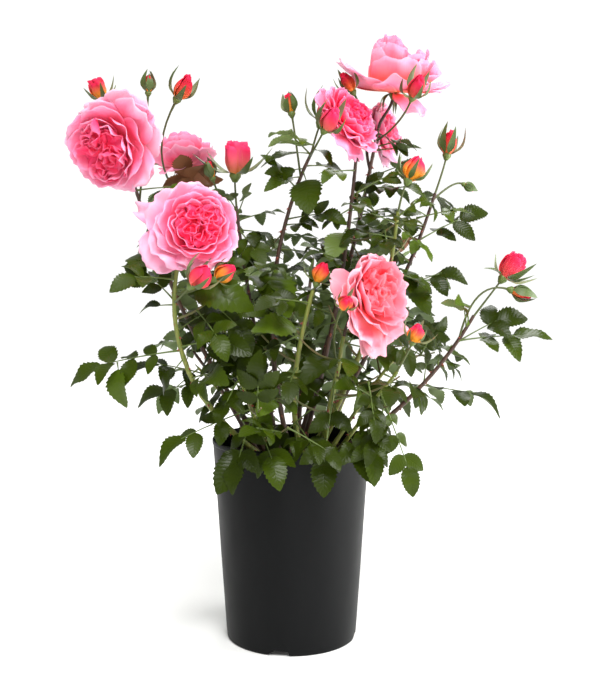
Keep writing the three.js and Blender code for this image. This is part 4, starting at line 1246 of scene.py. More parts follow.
def leaflet_templates():
    """Three leaflets: nearly flat, cupped with a drooping tip, and waved along its edges."""
    def fullness(t):
        return t ** LEAFLET["foot"] * (1 - t) ** LEAFLET["tip"]

    def half(t):
        return LEAFLET["half_width"] * fullness(t) / fullness(LEAFLET["widest"])

    outline = [(0, 0)]
    step = LEAFLET["last_tooth"] / LEAFLET["teeth"]
    for k in range(LEAFLET["teeth"]):
        valley = LEAFLET["first_tooth"] + k * step
        point = valley + LEAFLET["point_at"] * step
        outline += [(valley, LEAFLET["valley"] * half(valley)), (point, LEAFLET["point"] * half(point))]
    shapes = (
        lambda t, s: 0.03 * math.sin(math.pi * t) - 0.08 * t * t + 0.09 * abs(s) * math.sin(math.pi * t),
        lambda t, s: 0.07 * math.sin(math.pi * t) - 0.22 * t * t + 0.13 * abs(s) * math.sin(math.pi * t),
        lambda t, s: (0.03 * math.sin(math.pi * t) - 0.14 * t ** 3 + 0.07 * abs(s)
                      + 0.045 * s * math.sin(3 * math.pi * t)))
    return [blade_template(f"leaflet_{k}", [*outline, (1, 0)], rise, LEAFLET["thickness"])
            for k, rise in enumerate(shapes)]


def sepal_templates():
    """Sepals: narrow, keeled, drawn out to a thread; one hugs its bud, two curl back."""
    outline = [(0, 0)] + [(t, 0.13 * math.sin(math.pi * min(1, t / 0.44) / 2) * (1 - t) ** 0.9 + 0.008)
                          for t in (0.05, 0.14, 0.26, 0.4, 0.55, 0.7, 0.84)] + [(1, 0)]
    shapes = (lambda t, s: 0.16 * math.sin(math.pi * t) + 0.05 * s * s - 0.05 * t,
              lambda t, s: -0.3 * t * t + 0.06 * s * s,
              lambda t, s: 0.1 * math.sin(math.pi * t) - 0.35 * t ** 3 + 0.06 * s * s)
    return [blade_template(f"sepal_{k}", outline, rise, SEPAL_THICKNESS) for k, rise in enumerate(shapes)]


# Each tint of leaf: the colours of its upper side and underside, and the share of leaves that have it.
# The pale tint's greyish upper side is partly a paler leaf, partly painted sheen from a glossy reflection;
# the fresh tint is the leaves' own fresher green, also given to one leaf as painted sheen.
LEAF_TINTS = (("deep", "#283403", "#606F45", 0.46), ("mid", "#344306", "#66784A", 0.35),
              ("fresh", "#44570F", "#74864F", 0.13), ("pale", "#5C6E34", "#7C8E58", 0.03),
              ("young", "#54331A", "#84583A", 0.03))
# How far down the list of tints a leaf's draw starts high in the crown, and ends lower down.
HIGH_DRAW, LOW_DRAW = 0.3, 0.85


def tint_of(leaf):
    """Which tint a leaf has, dealt out by its own keys unless it was given one, and lighter high up."""
    if leaf.tint:
        return leaf.tint
    draw = chance(*leaf.keys, 77)
    draw = lerp(HIGH_DRAW, 1, draw) if leaf.rachis.at(0)[2] > FINE["high"] else LOW_DRAW * draw
    for name, _, _, share in LEAF_TINTS:
        if draw < share:
            return name
        draw -= share
    return LEAF_TINTS[0][0]


def make_leaves():
    templates = leaflet_templates()
    for tint, base, beneath, _ in LEAF_TINTS:
        leaves = [leaf for leaf in plant().leaves if tint_of(leaf) == tint]
        rows = [(*leaflet, spread(1, LEAFLET["breadth_range"], *leaf.keys, k, 11),
                 int(chance(*leaf.keys, k, 12) * len(templates)))
                for leaf in leaves for k, leaflet in enumerate(leaf.leaflets)]
        piece = blades(f"leaves_{tint}", rows, templates, leaf_blade(f"leaf_blade_{tint}", base),
                       leaf_underside(f"leaf_underside_{tint}", beneath))
        finished(piece, "foliage", *foliage_nodes())
    discard(templates)


# A prickle of unit length: its sides, its rings of (height, half length, half width), its hook, its tip.
HORN = dict(sides=6, rings=((0.0, 0.6, 0.3), (0.35, 0.18, 0.135), (0.7, 0.08, 0.06)), hook=-0.5, tip=-0.62)
# Millimetres of cane to a prickle, the share of a cane that has them, how deep they sit in it as a share of
# its radius, and how their length varies by chance and from the cane's foot to its tip.
PRICKLES = dict(step=17, key=700, span=(0.06, 0.9), sunk=0.8, vary=0.25, lengths=(1.1, 0.7))


def prickle_template():
    """A prickle along +Z from the skin, broad at its foot and hooked down towards -X."""
    sides = HORN["sides"]
    verts = []
    for height, length, width in HORN["rings"]:
        verts += [(HORN["hook"] * height ** 2 + length * math.cos(a), width * math.sin(a), height)
                  for a in np.arange(sides) * math.tau / sides]
    verts.append((HORN["tip"], 0, 1.0))
    faces = [tuple(range(sides))[::-1]]
    for low in (0, sides):
        faces += [(low + i, low + (i + 1) % sides, low + sides + (i + 1) % sides, low + sides + i)
                  for i in range(sides)]
    faces += [(2 * sides + i, 2 * sides + (i + 1) % sides, 3 * sides) for i in range(sides)]
    return new_object("prickle", new_mesh("prickle", verts, faces, scale=1))


def make_prickles(settings):
    rows = []
    for shoot in plant().shoots:
        count = int(shoot.curve.length() / PRICKLES["step"])
        for i in range(count):
            keys = (shoot.index + 1, PRICKLES["key"] + i)
            t = lerp(*PRICKLES["span"], (i + chance(*keys)) / count)
            tangent = shoot.curve.tangent(t)
            out = square_to(tangent, i * GOLDEN_ANGLE + shoot.index)
            base = shoot.curve.at(t) + out * PRICKLES["sunk"] * shoot.radius_at(t)
            vary = spread(1, PRICKLES["vary"], *keys, 2)
            length = settings.prickle_length / MM * vary * lerp(*PRICKLES["lengths"], t)
            rows.append((base, tangent, out, length, 1, 0))
    template = prickle_template()
    horn = prickle_horn()
    piece = blades("prickles", rows, [template], horn, horn)
    discard([template])
    finished(piece, "bark")


# ---- blooms and buds ------------------------------------------------------------------------------------
# What a petal is like where its form doesn't say, in shares of its flower's radius and in radians: its
# columns and rows, how its outline falls to its sides, is notched and ragged, how far it wraps round the
# flower's middle, is ruffled, curled and turned, how its colour runs, how it varies from its even place, how
# far it follows its flower's lean, and how far its middle follows the flower's heart.
PETAL = dict(grid=(12, 8), fall=0.24, notch=0.05, ragged=1, vary=0.06, wrap=1, ruffle=0.04, waves=2.6,
             curl=0.05, pale_edge=0.2, warm=0.5, warm_fade=1.5, start=0, jitter=0.16, spin=0, twist=0,
             spin_range=0.12, rise_range=0.08, leaning=0, centre=(0, 0), heart=0)


class Petals:
    """Petals gathered into one mesh, each a sheet of (points, places on it, blush, warmth)."""

    def __init__(self):
        self.sheets = []

    def piece(self, name, thickness, material):
        """The petals with their thickness, as one piece with its own bake map."""
        across = math.ceil(math.sqrt(len(self.sheets)))
        verts, faces, places, baked = [], [], [], []
        for k, (points, uv, _, _) in enumerate(self.sheets):
            rows, columns = points.shape[:2]
            index = len(verts) + np.arange(rows * columns).reshape(rows, columns)
            quads = np.stack((index[:-1, :-1], index[:-1, 1:], index[1:, 1:], index[1:, :-1]), axis=-1)
            faces.extend(quads.reshape(-1, 4))
            verts.extend(points.reshape(-1, 3))
            places.extend(uv.reshape(-1, 2))
            inset = 0.04 + 0.92 * uv.reshape(-1, 2)
            baked.extend((np.array((k % across, k // across)) + inset) / across)
        blush, warm = (np.concatenate([sheet[k].ravel() for sheet in self.sheets]) for k in (2, 3))
        mesh = give(new_mesh(name, verts, faces), blush=blush, warm=warm)
        lay_uv(mesh, "Petal", places)
        lay_uv(mesh, "OFBake", baked)
        mesh.materials.append(material)
        piece = new_object(name, mesh)
        solid = piece.modifiers.new("Thickness", "SOLIDIFY")
        solid.thickness = thickness
        solid.offset = 0
        return settled(piece)


def frame_of(toward):
    """Two unit vectors square to a direction, as columns with it."""
    first = square_to(toward, 0)
    return np.column_stack((first, np.cross(toward, first), toward))


def petal_sheet(form, keys):
    """One petal in its flower's own axes, in shares of the flower's radius.

    Its profile runs from foot to tip as (out, up), and its angle is its place round the flower. It comes
    back as its points, their places on the flat petal, and how blushed and how warm each point is.
    """
    columns, rows = form["grid"]
    u, s = np.meshgrid(np.linspace(-1, 1, columns + 1), np.linspace(0, 1, rows + 1))
    phase = math.tau * chance(*keys, 1)
    ragged = form["ragged"] * (0.025 * np.sin(7 * u + phase) + 0.02 * np.sin(15 * u + 2 * phase))
    v = s * (1 - form["fall"] * np.abs(u) ** 2.6 - form["notch"] * np.exp(-(u / 0.2) ** 2) + ragged)
    foot, pull, tip = form["profile"]
    size = spread(1, form["vary"], *keys, 2)
    r, z = (((1 - v) ** 2 * foot[k] + 2 * v * (1 - v) * pull[k] + v ** 2 * tip[k]) * size for k in (0, 1))
    slope_r, slope_z = (2 * (1 - v) * (pull[k] - foot[k]) + 2 * v * (tip[k] - pull[k]) for k in (0, 1))
    steep = np.hypot(slope_r, slope_z) + 1e-6
    width = form["width"] * (0.2 + 0.8 * np.sin(np.minimum(v / 0.62, 1) * math.pi / 2)) * (1 - 0.1 * v ** 3)
    radius = np.maximum(r, 0.12) / form["wrap"]
    angle = np.clip(u * width / 2 / radius, -2.6, 2.6)
    aside = radius * np.sin(angle)
    outward = r - radius * (1 - np.cos(angle))
    wave = form["ruffle"] * v ** 2 * np.sin(form["waves"] * math.pi * u + phase)
    wave += 0.5 * form["ruffle"] * v * np.sin(5 * u + 9 * v + 2 * phase)
    bend = wave - form["curl"] * (0.55 * np.abs(u) ** 3 + 0.45) * v ** 4
    outward = outward - bend * slope_z / steep
    height = z + bend * slope_r / steep
    middle = r[rows // 2, columns // 2]
    c, d = math.cos(form["spin"]), math.sin(form["spin"])
    aside, outward = aside * c - (outward - middle) * d, aside * d + (outward - middle) * c + middle
    c, d = math.cos(form["angle"]), math.sin(form["angle"])
    points = np.stack((outward * c - aside * d, outward * d + aside * c, height), axis=-1)
    # Paler rims: partly the petals' own paler edges, partly a painted highlight where the rims catch the
    # light.
    edge = np.maximum(v ** 3, 0.7 * np.abs(u) ** 3 * v)
    blush = lerp(*form["blush"], np.clip(v * 1.1, 0, 1)) - form["pale_edge"] * edge
    blush = blush + 0.05 * np.sin(4 * u + phase)
    warm = form["warm"] * np.clip(1 - v * form["warm_fade"], 0, 1) ** 1.3
    return points, np.stack(((u + 1) / 2, s), axis=-1), np.clip(blush, 0, 1), warm


def whorl(petals, flower, keys, count, **given):
    """Petals set round a flower, each turned and raised a little from its even place.

    A leaning whorl reaches further and lower towards the side its flower leans to.
    """
    form = {**PETAL, **given}
    axes = frame_of(flower["toward"])
    lean, heart = (vec(flower.get(side, (0, 0, 0))) for side in ("lean", "heart"))
    lean = lean @ axes
    centre = vec((*form["centre"], 0)) + form["heart"] * heart @ axes
    for k in range(count):
        own = (*keys, k)
        angle = form["start"] + math.tau * k / count + spread(0, form["jitter"], *own, 20)
        spin = form["spin"] * (1 if k % 2 else -1) + form["twist"] + spread(0, form["spin_range"], *own, 21)
        rise = spread(1, form["rise_range"], *own, 22)
        reach = form["leaning"] * (lean[0] * math.cos(angle) + lean[1] * math.sin(angle))
        foot, pull, tip = ((r, z * rise) for r, z in form["profile"])
        profile = (foot, pull, (tip[0] + 0.6 * reach, tip[1] - 0.5 * reach))
        sheet, uv, blush, warm = petal_sheet(dict(form, angle=angle, spin=spin, profile=profile), own)
        sheet = flower["seat"] + (sheet + centre) * flower["size"] @ axes.T
        petals.sheets.append((sheet, uv, np.clip(blush + flower.get("blush", 0), 0, 1),
                              np.clip(warm * flower.get("warm", 1) + flower.get("coral", 0), 0, 1)))


# A quartered bloom's rings, from its guard petals to the shells round its heart.
RINGS = (
    dict(count=5, profile=((0.05, 0), (0.62, -0.04), (1.03, 0.16)), width=1.25, wrap=0.4, ruffle=0.085,
         curl=0.06, blush=(0.55, 0.1), warm=0.9, grid=(20, 13), waves=2.2, jitter=0.35, rise_range=1.1,
         vary=0.12, leaning=1),
    dict(count=5, profile=((0.05, 0.02), (0.62, 0.04), (0.96, 0.32)), width=1.1, wrap=0.6, start=0.6,
         ruffle=0.075, curl=0.06, blush=(0.65, 0.18), warm=0.6, grid=(18, 12), waves=2.3, jitter=0.35,
         rise_range=0.5, vary=0.1, leaning=0.7),
    dict(count=5, profile=((0.05, 0.04), (0.64, 0.06), (0.82, 0.46)), width=1.02, wrap=0.75, start=0.2,
         ruffle=0.045, curl=0.07, blush=(0.8, 0.32), warm=0.4, grid=(14, 10), waves=1.8, jitter=0.25,
         rise_range=0.2, heart=0.5),
    dict(count=5, profile=((0.05, 0.05), (0.62, 0.1), (0.68, 0.54)), width=0.9, wrap=0.9, start=0.8,
         curl=0.06, blush=(0.9, 0.38), warm=0.3, grid=(13, 9), waves=1.8, jitter=0.3, rise_range=0.14,
         heart=0.8),
    dict(count=6, profile=((0.05, 0.06), (0.56, 0.14), (0.55, 0.56)), width=0.72, wrap=0.9, ruffle=0.045,
         blush=(1.0, 0.42), warm=0.2, grid=(11, 8), waves=2, jitter=0.3, spin_range=0.25, rise_range=0.12,
         heart=1))
# The petals folded into the heart, and how many of them each quarter has and how far out they stand.
FOLDED = dict(warm=0.1, grid=(10, 8), heart=1, ruffle=0.07, curl=0.04, notch=0.1, fall=0.2, vary=0.2,
              pale_edge=0.1, rise_range=0.14, spin_range=0.9, waves=1.6, jitter=0.8, wrap=0.7, spin=0.3,
              blush=(0.95, 0.6))
QUARTER = ((2, 0.05), (3, 0.15), (3, 0.24))
# A cup's rings: how many petals, how far out their tips and bellies are, how tall and how wide they are.
CUPS = ((4, 0.76, 0.84, 0.62, 1.2), (5, 0.62, 0.76, 0.82, 1.1), (5, 0.5, 0.64, 0.93, 0.95),
        (5, 0.36, 0.48, 0.94, 0.75), (4, 0.22, 0.32, 0.9, 0.55), (3, 0.1, 0.16, 0.82, 0.4))


def stray(petals, flower, keys, side, reach, rise, width):
    """One petal that reaches out from the rest towards a side."""
    own = vec(side) @ frame_of(flower["toward"])
    whorl(petals, flower, keys, 1, start=math.atan2(own[1], own[0]), jitter=0,
          profile=((0.05, -0.02), (0.6 * reach, 0.25 * rise), (reach, rise)), width=width, wrap=0.5,
          ruffle=0.06, curl=0.08, blush=(0.5, 0.12), warm=0.4, grid=(20, 14), waves=1.8, vary=0, rise_range=0)


def quartered(petals, flower, seed):
    """An old-style bloom: broad guard petals, shells that overlap, and a heart in quarters."""
    for ring, form in enumerate(RINGS):
        if ring not in flower.get("without", ()):
            whorl(petals, flower, (seed, 1 + ring), **form)
    whorl(petals, flower, (seed, 39), 7, profile=((0.02, 0.3), (0.24, 0.34), (0.52, 0.38)), width=0.6,
          wrap=0.4, ruffle=0.08, blush=(0.8, 0.7), warm=0.1, grid=(10, 8), jitter=0.4, heart=1,
          rise_range=0.1)
    quarters = flower["quarters"]
    for q in range(quarters):
        turn = math.tau * q / quarters + flower.get("turn", 0.4)
        away = 0.25 if quarters > 1 else 0.0
        for ring, (count, out) in enumerate(QUARTER):
            profile = ((0.03, 0.14), (out * 1.5, 0.28), (out + 0.03, 0.58 - 0.2 * out))
            whorl(petals, flower, (seed, 20 + q, ring), count, **dict(
                FOLDED, profile=profile, width=0.42 + out, start=1.1 * ring + turn,
                centre=(away * math.cos(turn), away * math.sin(turn))))
    whorl(petals, flower, (seed, 40), 6, **dict(
        FOLDED, profile=((0.04, 0.14), (0.42, 0.26), (0.4, 0.52)), width=0.55, wrap=0.5, ruffle=0.06,
        curl=0.03, notch=0.12, fall=0.25, blush=(0.95, 0.55), spin=0.6, spin_range=0.7, waves=1.8,
        jitter=0.5))


def cupped(petals, flower, seed):
    """A bloom still deep and half closed, over guard petals that have spread flat."""
    whorl(petals, flower, (seed, 1), 5, profile=((0.05, 0), (0.62, 0.0), (1.06, 0.3)), width=1.2, wrap=0.3,
          ruffle=0.05, curl=0.07, blush=(0.5, 0.14), warm=0.9, grid=(20, 13), rise_range=0.7, jitter=0.3,
          waves=1.9, leaning=0.3)
    slim = flower.get("slim", 1)
    for ring, (count, out, bulge, tall, width) in enumerate(CUPS):
        whorl(petals, flower, (seed, 2 + ring), count,
              profile=((0.05, 0.02), (slim * bulge, 0.06), (slim * out, tall)), width=width, start=0.5 * ring,
              curl=0.13 - 0.02 * ring, blush=(0.6 + 0.08 * ring, 0.3 + 0.05 * ring),
              warm=1.2 - 0.15 * ring, warm_fade=0.95, grid=(17 - ring, 12 - ring), rise_range=0.1,
              jitter=0.3, fall=0.1, notch=0.04, leaning=0.9 - 0.1 * ring, ragged=0.6 - 0.08 * ring)


# How each bloom looks beyond its place and size: its form, the way it faces, how many quarters its heart
# has, the side it leans to and where its heart lies in shares of its radius, how warm, blushed and coral it
# is, and its stray petals, each with the side it reaches to, how far out and up, and its width.
BLOOM_LOOKS = dict(
    bloom_left=dict(form=quartered, quarters=2, turn=2.3, toward=(-0.36, -0.86, -0.3), lean=(0.06, 0, 0.1),
                    scale=0.97, heart=(-0.16, 0, -0.12)),
    bloom_front_left=dict(form=quartered, quarters=2, turn=0.9, scale=0.88, lean=(-0.06, 0, -0.1),
                          shift=(10, 0, 5), heart=(0.06, 0, 0.0), blush=0.06,
                          strays=(((-0.8, 0, -0.6), 1.42, 0.0, 1.1), ((-1, 0, 0.42), 1.45, -0.45, 0.6))),
    bloom_back_left=dict(form=cupped, toward=(-0.1, 0.3, 0.93), scale=0.98, shift=(-7, 0, 0), blush=0.12,
                         warm=0.4, strays=(((-0.4, -0.9, 0), 0.95, -0.45, 1.1),)),
    bloom_top=dict(form=cupped, toward=(0.04, -0.12, 0.99), slim=0.84, lean=(0.5, 0, -0.05), warm=1.5,
                   blush=0.08, shift=(8, 0, 0),
                   strays=(((-1, -0.3, 0), 1.2, 0.62, 1.0), ((0.8, 0.6, 0), 1.0, 0.62, 1.5),
                           ((0.75, -0.65, 0), 0.75, -0.42, 0.8))),
    bloom_centre=dict(form=quartered, quarters=2, toward=(0.68, -0.45, 0.58), scale=1.1, shift=(-2, 0, 12),
                      lean=(-0.1, 0, -0.15), blush=0.2, warm=0.8,
                      strays=(((0.5, 0, -0.85), 1.1, -0.3, 0.7), ((-0.2, 0, -0.95), 1.1, -0.3, 0.7))),
    bloom_behind=dict(form=quartered, quarters=2, toward=(0.78, -0.3, 0.3), shift=(-4, 0, 20),
                      lean=(0.2, 0, -0.4), blush=-0.05),
    bloom_front_right=dict(form=quartered, quarters=1, turn=1.2, toward=(0.74, -0.6, 0.27), scale=0.95,
                           shift=(9, 0, 6), lean=(0.15, 0, -0.3), heart=(-0.05, 0, 0.1), blush=0.05, warm=1.2,
                           coral=0.25, without=(4,),
                           strays=(((-0.95, 0, 0.2), 1.02, -0.2, 0.8),
                                   ((-0.25, 0, -0.97), 1.18, -0.15, 0.8))))


def flower_of(bloom):
    """A bloom as it looks: the source's own, turned, scaled and nudged a little."""
    look = BLOOM_LOOKS[bloom["name"]]
    return dict(look, seat=bloom["seat"] + vec(look.get("shift", (0, 0, 0))),
                toward=unit(vec(look.get("toward", bloom["toward"]))),
                size=bloom["radius"] * look.get("scale", 1))


def bloom_stalk(bloom):
    """The bloom's stalk, bent to meet it where it looks to be."""
    flower = flower_of(bloom)
    seat, toward = flower["seat"], flower["toward"]
    start, leave = bloom["stalk"].points[:2]
    length = np.linalg.norm(seat - start)
    return Bezier(start, leave, seat - toward * BLOOM["arrive"] * length, seat - toward * 2)


def make_blooms(settings):
    silk = petal_silk("petal_silk", PETAL_STOPS, "#FF8E55")
    for bloom in plant().blooms:
        petals = Petals()
        flower = flower_of(bloom)
        seed = 40 + bloom["index"]
        flower["form"](petals, flower, seed)
        for k, side_and_sizes in enumerate(flower.get("strays", ())):
            stray(petals, flower, (seed, 80 + k), *side_and_sizes)
        piece = petals.piece(f"petals_of_{bloom['name']}", settings.petal_thickness, silk)
        finished(piece, "petals", bloom["name"])


# How each form of bud is wrapped: its petals' profiles from outside in, in shares of the bud's length.
BUD_FORMS = dict(
    tight=(((0.05, 0.14), (0.32, 0.46), (0.0, 0.94)), ((0.05, 0.14), (0.28, 0.5), (0.0, 0.9))),
    showing=(((0.05, 0.14), (0.44, 0.4), (0.12, 0.9)), ((0.04, 0.14), (0.28, 0.46), (0.05, 1.0)),
             ((0.03, 0.14), (0.16, 0.5), (0.02, 0.9))),
    plump=(((0.05, 0.14), (0.58, 0.38), (0.14, 0.84)), ((0.05, 0.14), (0.48, 0.44), (0.07, 0.92)),
           ((0.05, 0.14), (0.3, 0.5), (0.02, 0.88))),
    half_open=(((0.05, 0.12), (0.4, 0.3), (0.25, 0.86)), ((0.05, 0.12), (0.34, 0.4), (0.2, 0.98)),
               ((0.05, 0.14), (0.28, 0.5), (0.15, 0.96)), ((0.05, 0.14), (0.18, 0.5), (0.07, 0.9))))
# How far each form's sepals lean out, in radians, and how broad they are.
SEPALS = dict(tight=(-0.08, 2.3), showing=(0.3, 1.4), plump=(0.5, 1.2), half_open=(1.15, 1.2))
# What the petals of a closed bud share, and how an opening one's differ.
WRAPPED = dict(wrap=1, ruffle=0.012, curl=0.015, fall=0.3, notch=-0.04, waves=2, warm=1.1, warm_fade=1.1,
               grid=(10, 9), vary=0.02, rise_range=0.02, spin_range=0.04, twist=0.2, ragged=0.5)
LOOSE = dict(ruffle=0.05, curl=0.09, fall=0.12, notch=0.03)


def make_buds(settings):
    petals = Petals()
    for i, bud in enumerate(plant().buds):
        form = dict(WRAPPED, **LOOSE) if bud["form"] == "half_open" else WRAPPED
        warm = spread(1.1, 0.5, i, 3) if bud["warm"] is None else bud["warm"]
        blush = spread(0, 0.12, i, 4) if bud["blush"] is None else bud["blush"]
        flower = dict(seat=bud["foot"], toward=bud["toward"], size=bud["length"], warm=warm, blush=blush)
        for ring, profile in enumerate(BUD_FORMS[bud["form"]]):
            whorl(petals, flower, (60 + i, ring), 3, **form, profile=profile, width=0.78 - 0.1 * ring,
                  start=0.7 * ring + i, blush=(0.25 + 0.1 * ring, 0.75))
    piece = petals.piece("bud_petals", settings.petal_thickness, petal_silk("bud_silk", BUD_STOPS, "#FF9A2E"))
    finished(piece, "petals")


# A hip of unit radius and length, and how many sides it has.
HIP = ((0, -1), (0.42, -0.98), (0.62, -0.75), (1, -0.35), (0.95, 0), (0.6, 0.2), (0, 0.22))
HIP_SIDES = 12
# Under a bud, in shares of its length: where its hip sits, how wide (with this many millimetres more) and
# deep it is, how far out its sepals stand and how long they are, how their lean varies, and how many stray
# further out and by how much.
BUD_CALYX = dict(sepals=5, seat=0.16, radius=0.14, more=0.6, depth=0.24, out=0.15, reach=(0.98, 0.16),
                 vary=0.1, stray=0.25, stray_by=0.35)
# Under a bloom, in millimetres: how far below it the hip sits, how wide and deep that is, and how far out
# its sepals stand; they hang back by so much, and are so long for the bloom's radius.
BLOOM_CALYX = dict(sepals=5, below=1.0, radius=5.2, depth=9.0, out=3.5, back=(0.8, 0.4), reach=0.46)


def hip(seat, toward, radius, length):
    """The swollen cup under a flower."""
    axes = frame_of(toward)
    return lathe([(out * radius, up * length) for out, up in HIP], HIP_SIDES, lambda p: seat + axes @ p)


def bud_calyx(bud):
    """The hip under a bud, and the rows of its sepals."""
    form, length, toward = BUD_CALYX, bud["length"], bud["toward"]
    seat = bud["foot"] + toward * form["seat"] * length
    open_out, breadth = SEPALS[bud["form"]]
    rows = []
    for k in range(form["sepals"]):
        keys = (int(length), k, bud["key"])
        out = square_to(toward, k * math.tau / form["sepals"] + chance(*keys))
        strays = form["stray_by"] if chance(*keys, 5) < form["stray"] else 0
        lean = spread(open_out, form["vary"], *keys, 1) + strays
        axis = unit(toward * math.cos(lean) + out * math.sin(lean))
        normal = unit(out - axis * np.dot(out, axis))
        reach = length * spread(*form["reach"], *keys, 2)
        base = seat + out * form["out"] * length
        rows.append((base, axis, normal, reach, breadth, 0 if open_out < 1 else 1))
    return hip(seat, toward, form["radius"] * length + form["more"], form["depth"] * length), rows


def bloom_calyx(bloom):
    """The hip under a bloom, and the rows of its sepals."""
    form, flower = BLOOM_CALYX, flower_of(bloom)
    toward = flower["toward"]
    seat = flower["seat"] - toward * form["below"]
    rows = []
    for k in range(form["sepals"]):
        keys = (bloom["index"] + 1, k, 91)
        out = square_to(toward, k * math.tau / form["sepals"] + chance(*keys))
        axis = unit(out - toward * spread(*form["back"], *keys, 1))
        normal = unit(toward - axis * np.dot(toward, axis))
        rows.append((seat + out * form["out"], axis, normal, form["reach"] * flower["size"], 1.0, 2))
    return hip(seat, toward, form["radius"], form["depth"]), rows


def make_calyxes():
    calyxes = [bud_calyx(bud) for bud in plant().buds] + [bloom_calyx(bloom) for bloom in plant().blooms]
    hips = [own for own, _ in calyxes]
    each = len(hips[0][0])
    faces = [[k * each + i for i in face] for k, (_, own) in enumerate(hips) for face in own]
    cups = new_object("hips", new_mesh("hips", [v for verts, _ in hips for v in verts], faces))
    cups.data.materials.append(waxy_green("hip_green", "#5D7030"))
    finished(cups, "foliage")
    templates = sepal_templates()
    piece = blades("sepals", [row for _, rows in calyxes for row in rows], templates,
                   waxy_green("sepal_green", "#4C5F2A"), waxy_green("sepal_down", "#74825A"))
    discard(templates)
    finished(piece, "foliage")


# ---- the stage, in metres and watts -----------------------------------------------------------------------
FLOOR_HALF = 4.0
# Each lamp: its name, where it stands, how wide it is and its power. All of them look at the same place.
LAMPS = (("fill", (2.2, -0.3, 1.0), 1.6, 60.0), ("back", (0.5, 1.9, 2.2), 1.4, 26.0),
         ("front", (0.3, -2.6, 0.35), 1.0, 11.0), ("side", (1.7, -0.3, 0.12), 0.5, 9.0),
         ("top", (-0.3, -0.4, 2.4), 1.6, 16.0))
LAMPS_AIM = (0, 0, 0.36)
SUN = dict(way=(-0.15, 0.8, -1.1), power=2.8, softness=math.radians(24))
# The room's own light, and how bright the room itself looks.
ROOM = dict(base="#FBFBFA", light=0.36, seen=1.1)


def make_floor():
    corners = [(x * FLOOR_HALF, y * FLOOR_HALF, 0) for x, y in ((-1, -1), (1, -1), (1, 1), (-1, 1))]
    sheet = new_mesh("floor", corners, [(0, 1, 2, 3)], scale=1, smooth=False)
    sheet.materials.append(floor_plaster())
    new_object("floor", sheet)


def make_light(name, kind, power, way, **settings):
    """A light that shines one way."""
    light = bpy.data.lights.new(name, kind)
    light.energy = power
    for label, value in settings.items():
        setattr(light, label, value)
    holder = new_object(name, light)
    holder.rotation_euler = way.to_track_quat("-Z", "Y").to_euler()
    return holder


def make_lights():
    for name, place, size, power in LAMPS:
        lamp = make_light(name, "AREA", power, Vector(LAMPS_AIM) - Vector(place), shape="DISK", size=size)
        lamp.location = place
    make_light("key", "SUN", SUN["power"], Vector(SUN["way"]), angle=SUN["softness"])


def make_world():
    world = bpy.data.worlds.new("pale_room")
    world.use_nodes = True
    tree = world.node_tree
    sky = tree.nodes["Background"]
    sky.inputs["Color"].default_value = colour(ROOM["base"])
    rays = add(tree, "ShaderNodeLightPath")
    strength = add(tree, "ShaderNodeMapRange", {"Value": rays.outputs["Is Camera Ray"],
                                                "To Min": ROOM["light"], "To Max": ROOM["seen"]})
    tree.links.new(strength.outputs["Result"], sky.inputs["Strength"])
    bpy.context.scene.world = world


def make_camera(settings):
    lens = bpy.data.cameras.new("camera")
    lens.lens = settings.camera_lens
    lens.sensor_width = 36.0
    lens.dof.use_dof = False
    holder = new_object("camera", lens)
    holder.location = settings.camera_place
    holder.rotation_euler = (math.pi / 2 - settings.camera_pitch, 0, 0)
    bpy.context.scene.camera = holder


# ---- the add-on -----------------------------------------------------------------------------------------
class RoseSettings(bpy.types.PropertyGroup):
    """What can be set before the rose is dressed."""

    crumb_density: FloatProperty(
        name="Crumb density", description="Crumbs strewn on the compost, per square metre",
        default=60000.0, min=0.0)
    cane_sides: IntProperty(
        name="Cane sides", description="Sides of each cane's round", default=10, min=5, max=32)
    cane_relief: FloatProperty(
        name="Cane relief", description="Height of the relief on the canes' bark", default=0.0005,
        unit="LENGTH", subtype="DISTANCE")
    petal_thickness: FloatProperty(
        name="Petal thickness", description="Thickness of a petal", default=0.00045,
        unit="LENGTH", subtype="DISTANCE")
    prickle_length: FloatProperty(
        name="Prickle length", description="Mean length of a prickle", default=0.0046,
        unit="LENGTH", subtype="DISTANCE")
    camera_place: FloatVectorProperty(
        name="Camera place", description="Where the camera stands", default=(0.0105, -1.310, 0.484),
        unit="LENGTH", subtype="TRANSLATION")
    camera_pitch: FloatProperty(
        name="Camera pitch", description="How far the camera looks down", default=math.radians(5.45),
        unit="ROTATION", subtype="ANGLE")
    camera_lens: FloatProperty(
        name="Camera lens", description="Focal length in millimetres", default=57.98, min=10.0)


class ROSE_OT_pot(bpy.types.Operator):
    """Make the black nursery pot with its four drain notches"""
    bl_idname = "rose.pot"
    bl_label = "Pot"

    def execute(self, context):
        make_pot()
        return {"FINISHED"}


class ROSE_OT_compost(bpy.types.Operator):
    """Fill the pot with crumbly compost"""
    bl_idname = "rose.compost"
    bl_label = "Compost"

    def execute(self, context):
        make_compost(context.scene.rose)
        return {"FINISHED"}


class ROSE_OT_canes(bpy.types.Operator):
    """Grow the canes, with bark relief and flared feet"""
    bl_idname = "rose.canes"
    bl_label = "Canes"

    def execute(self, context):
        make_canes(context.scene.rose)
        return {"FINISHED"}


class ROSE_OT_twigs(bpy.types.Operator):
    """Grow side twigs, leaf stalks and the stalks of blooms and buds"""
    bl_idname = "rose.twigs"
    bl_label = "Twigs and stalks"

    def execute(self, context):
        make_twigs()
        return {"FINISHED"}


class ROSE_OT_prickles(bpy.types.Operator):
    """Set hooked prickles along the canes"""
    bl_idname = "rose.prickles"
    bl_label = "Prickles"

    def execute(self, context):
        make_prickles(context.scene.rose)
        return {"FINISHED"}


class ROSE_OT_leaves(bpy.types.Operator):
    """Set every leaf's leaflets, a piece for each tint"""
    bl_idname = "rose.leaves"
    bl_label = "Leaves"

    def execute(self, context):
        make_leaves()
        return {"FINISHED"}


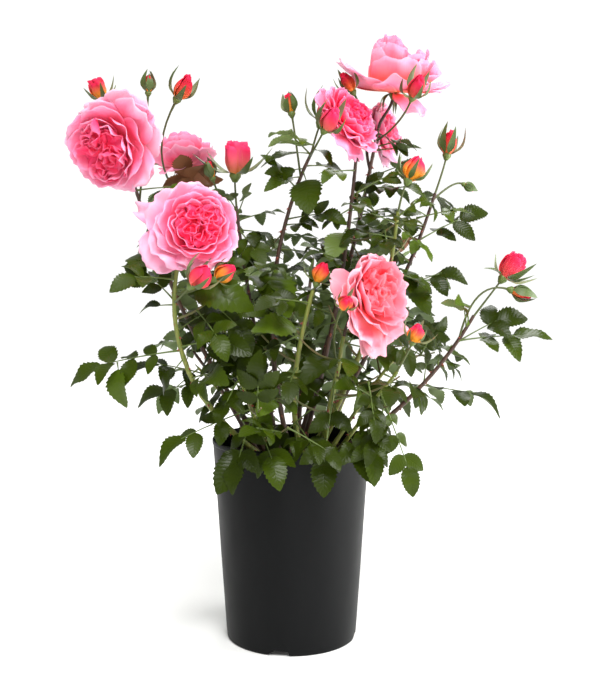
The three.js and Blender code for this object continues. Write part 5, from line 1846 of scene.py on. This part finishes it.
class ROSE_OT_blooms(bpy.types.Operator):
    """Open the seven blooms, petal by petal"""
    bl_idname = "rose.blooms"
    bl_label = "Blooms"

    def execute(self, context):
        make_blooms(context.scene.rose)
        return {"FINISHED"}


class ROSE_OT_buds(bpy.types.Operator):
    """Wrap the buds' petals"""
    bl_idname = "rose.buds"
    bl_label = "Buds"

    def execute(self, context):
        make_buds(context.scene.rose)
        return {"FINISHED"}


class ROSE_OT_calyxes(bpy.types.Operator):
    """Set hips and sepals under blooms and buds"""
    bl_idname = "rose.calyxes"
    bl_label = "Hips and sepals"

    def execute(self, context):
        make_calyxes()
        return {"FINISHED"}


class ROSE_OT_stage(bpy.types.Operator):
    """Lay the floor and set lights and camera"""
    bl_idname = "rose.stage"
    bl_label = "Stage"

    def execute(self, context):
        make_floor()
        make_world()
        make_lights()
        make_camera(context.scene.rose)
        context.scene.view_settings.view_transform = "Standard"
        return {"FINISHED"}


OPERATORS = (ROSE_OT_pot, ROSE_OT_compost, ROSE_OT_canes, ROSE_OT_twigs, ROSE_OT_prickles, ROSE_OT_leaves,
             ROSE_OT_blooms, ROSE_OT_buds, ROSE_OT_calyxes, ROSE_OT_stage)


class ROSE_PT_panel(bpy.types.Panel):
    """The rose's settings and the steps that dress it"""
    bl_idname = "ROSE_PT_panel"
    bl_label = "Shrub rose"
    bl_space_type = "VIEW_3D"
    bl_region_type = "UI"
    bl_category = "Rose"

    def draw(self, context):
        for name in RoseSettings.__annotations__:
            self.layout.prop(context.scene.rose, name)
        for operator in OPERATORS:
            self.layout.operator(operator.bl_idname)


CLASSES = (RoseSettings, *OPERATORS, ROSE_PT_panel)


def register():
    for each in CLASSES:
        bpy.utils.register_class(each)
    bpy.types.Scene.rose = PointerProperty(type=RoseSettings)


def unregister():
    del bpy.types.Scene.rose
    for each in reversed(CLASSES):
        bpy.utils.unregister_class(each)


def main():
    register()
    for operator in OPERATORS:
        getattr(bpy.ops.rose, operator.bl_idname.split(".")[1])()


if __name__ == "__main__":
    main()
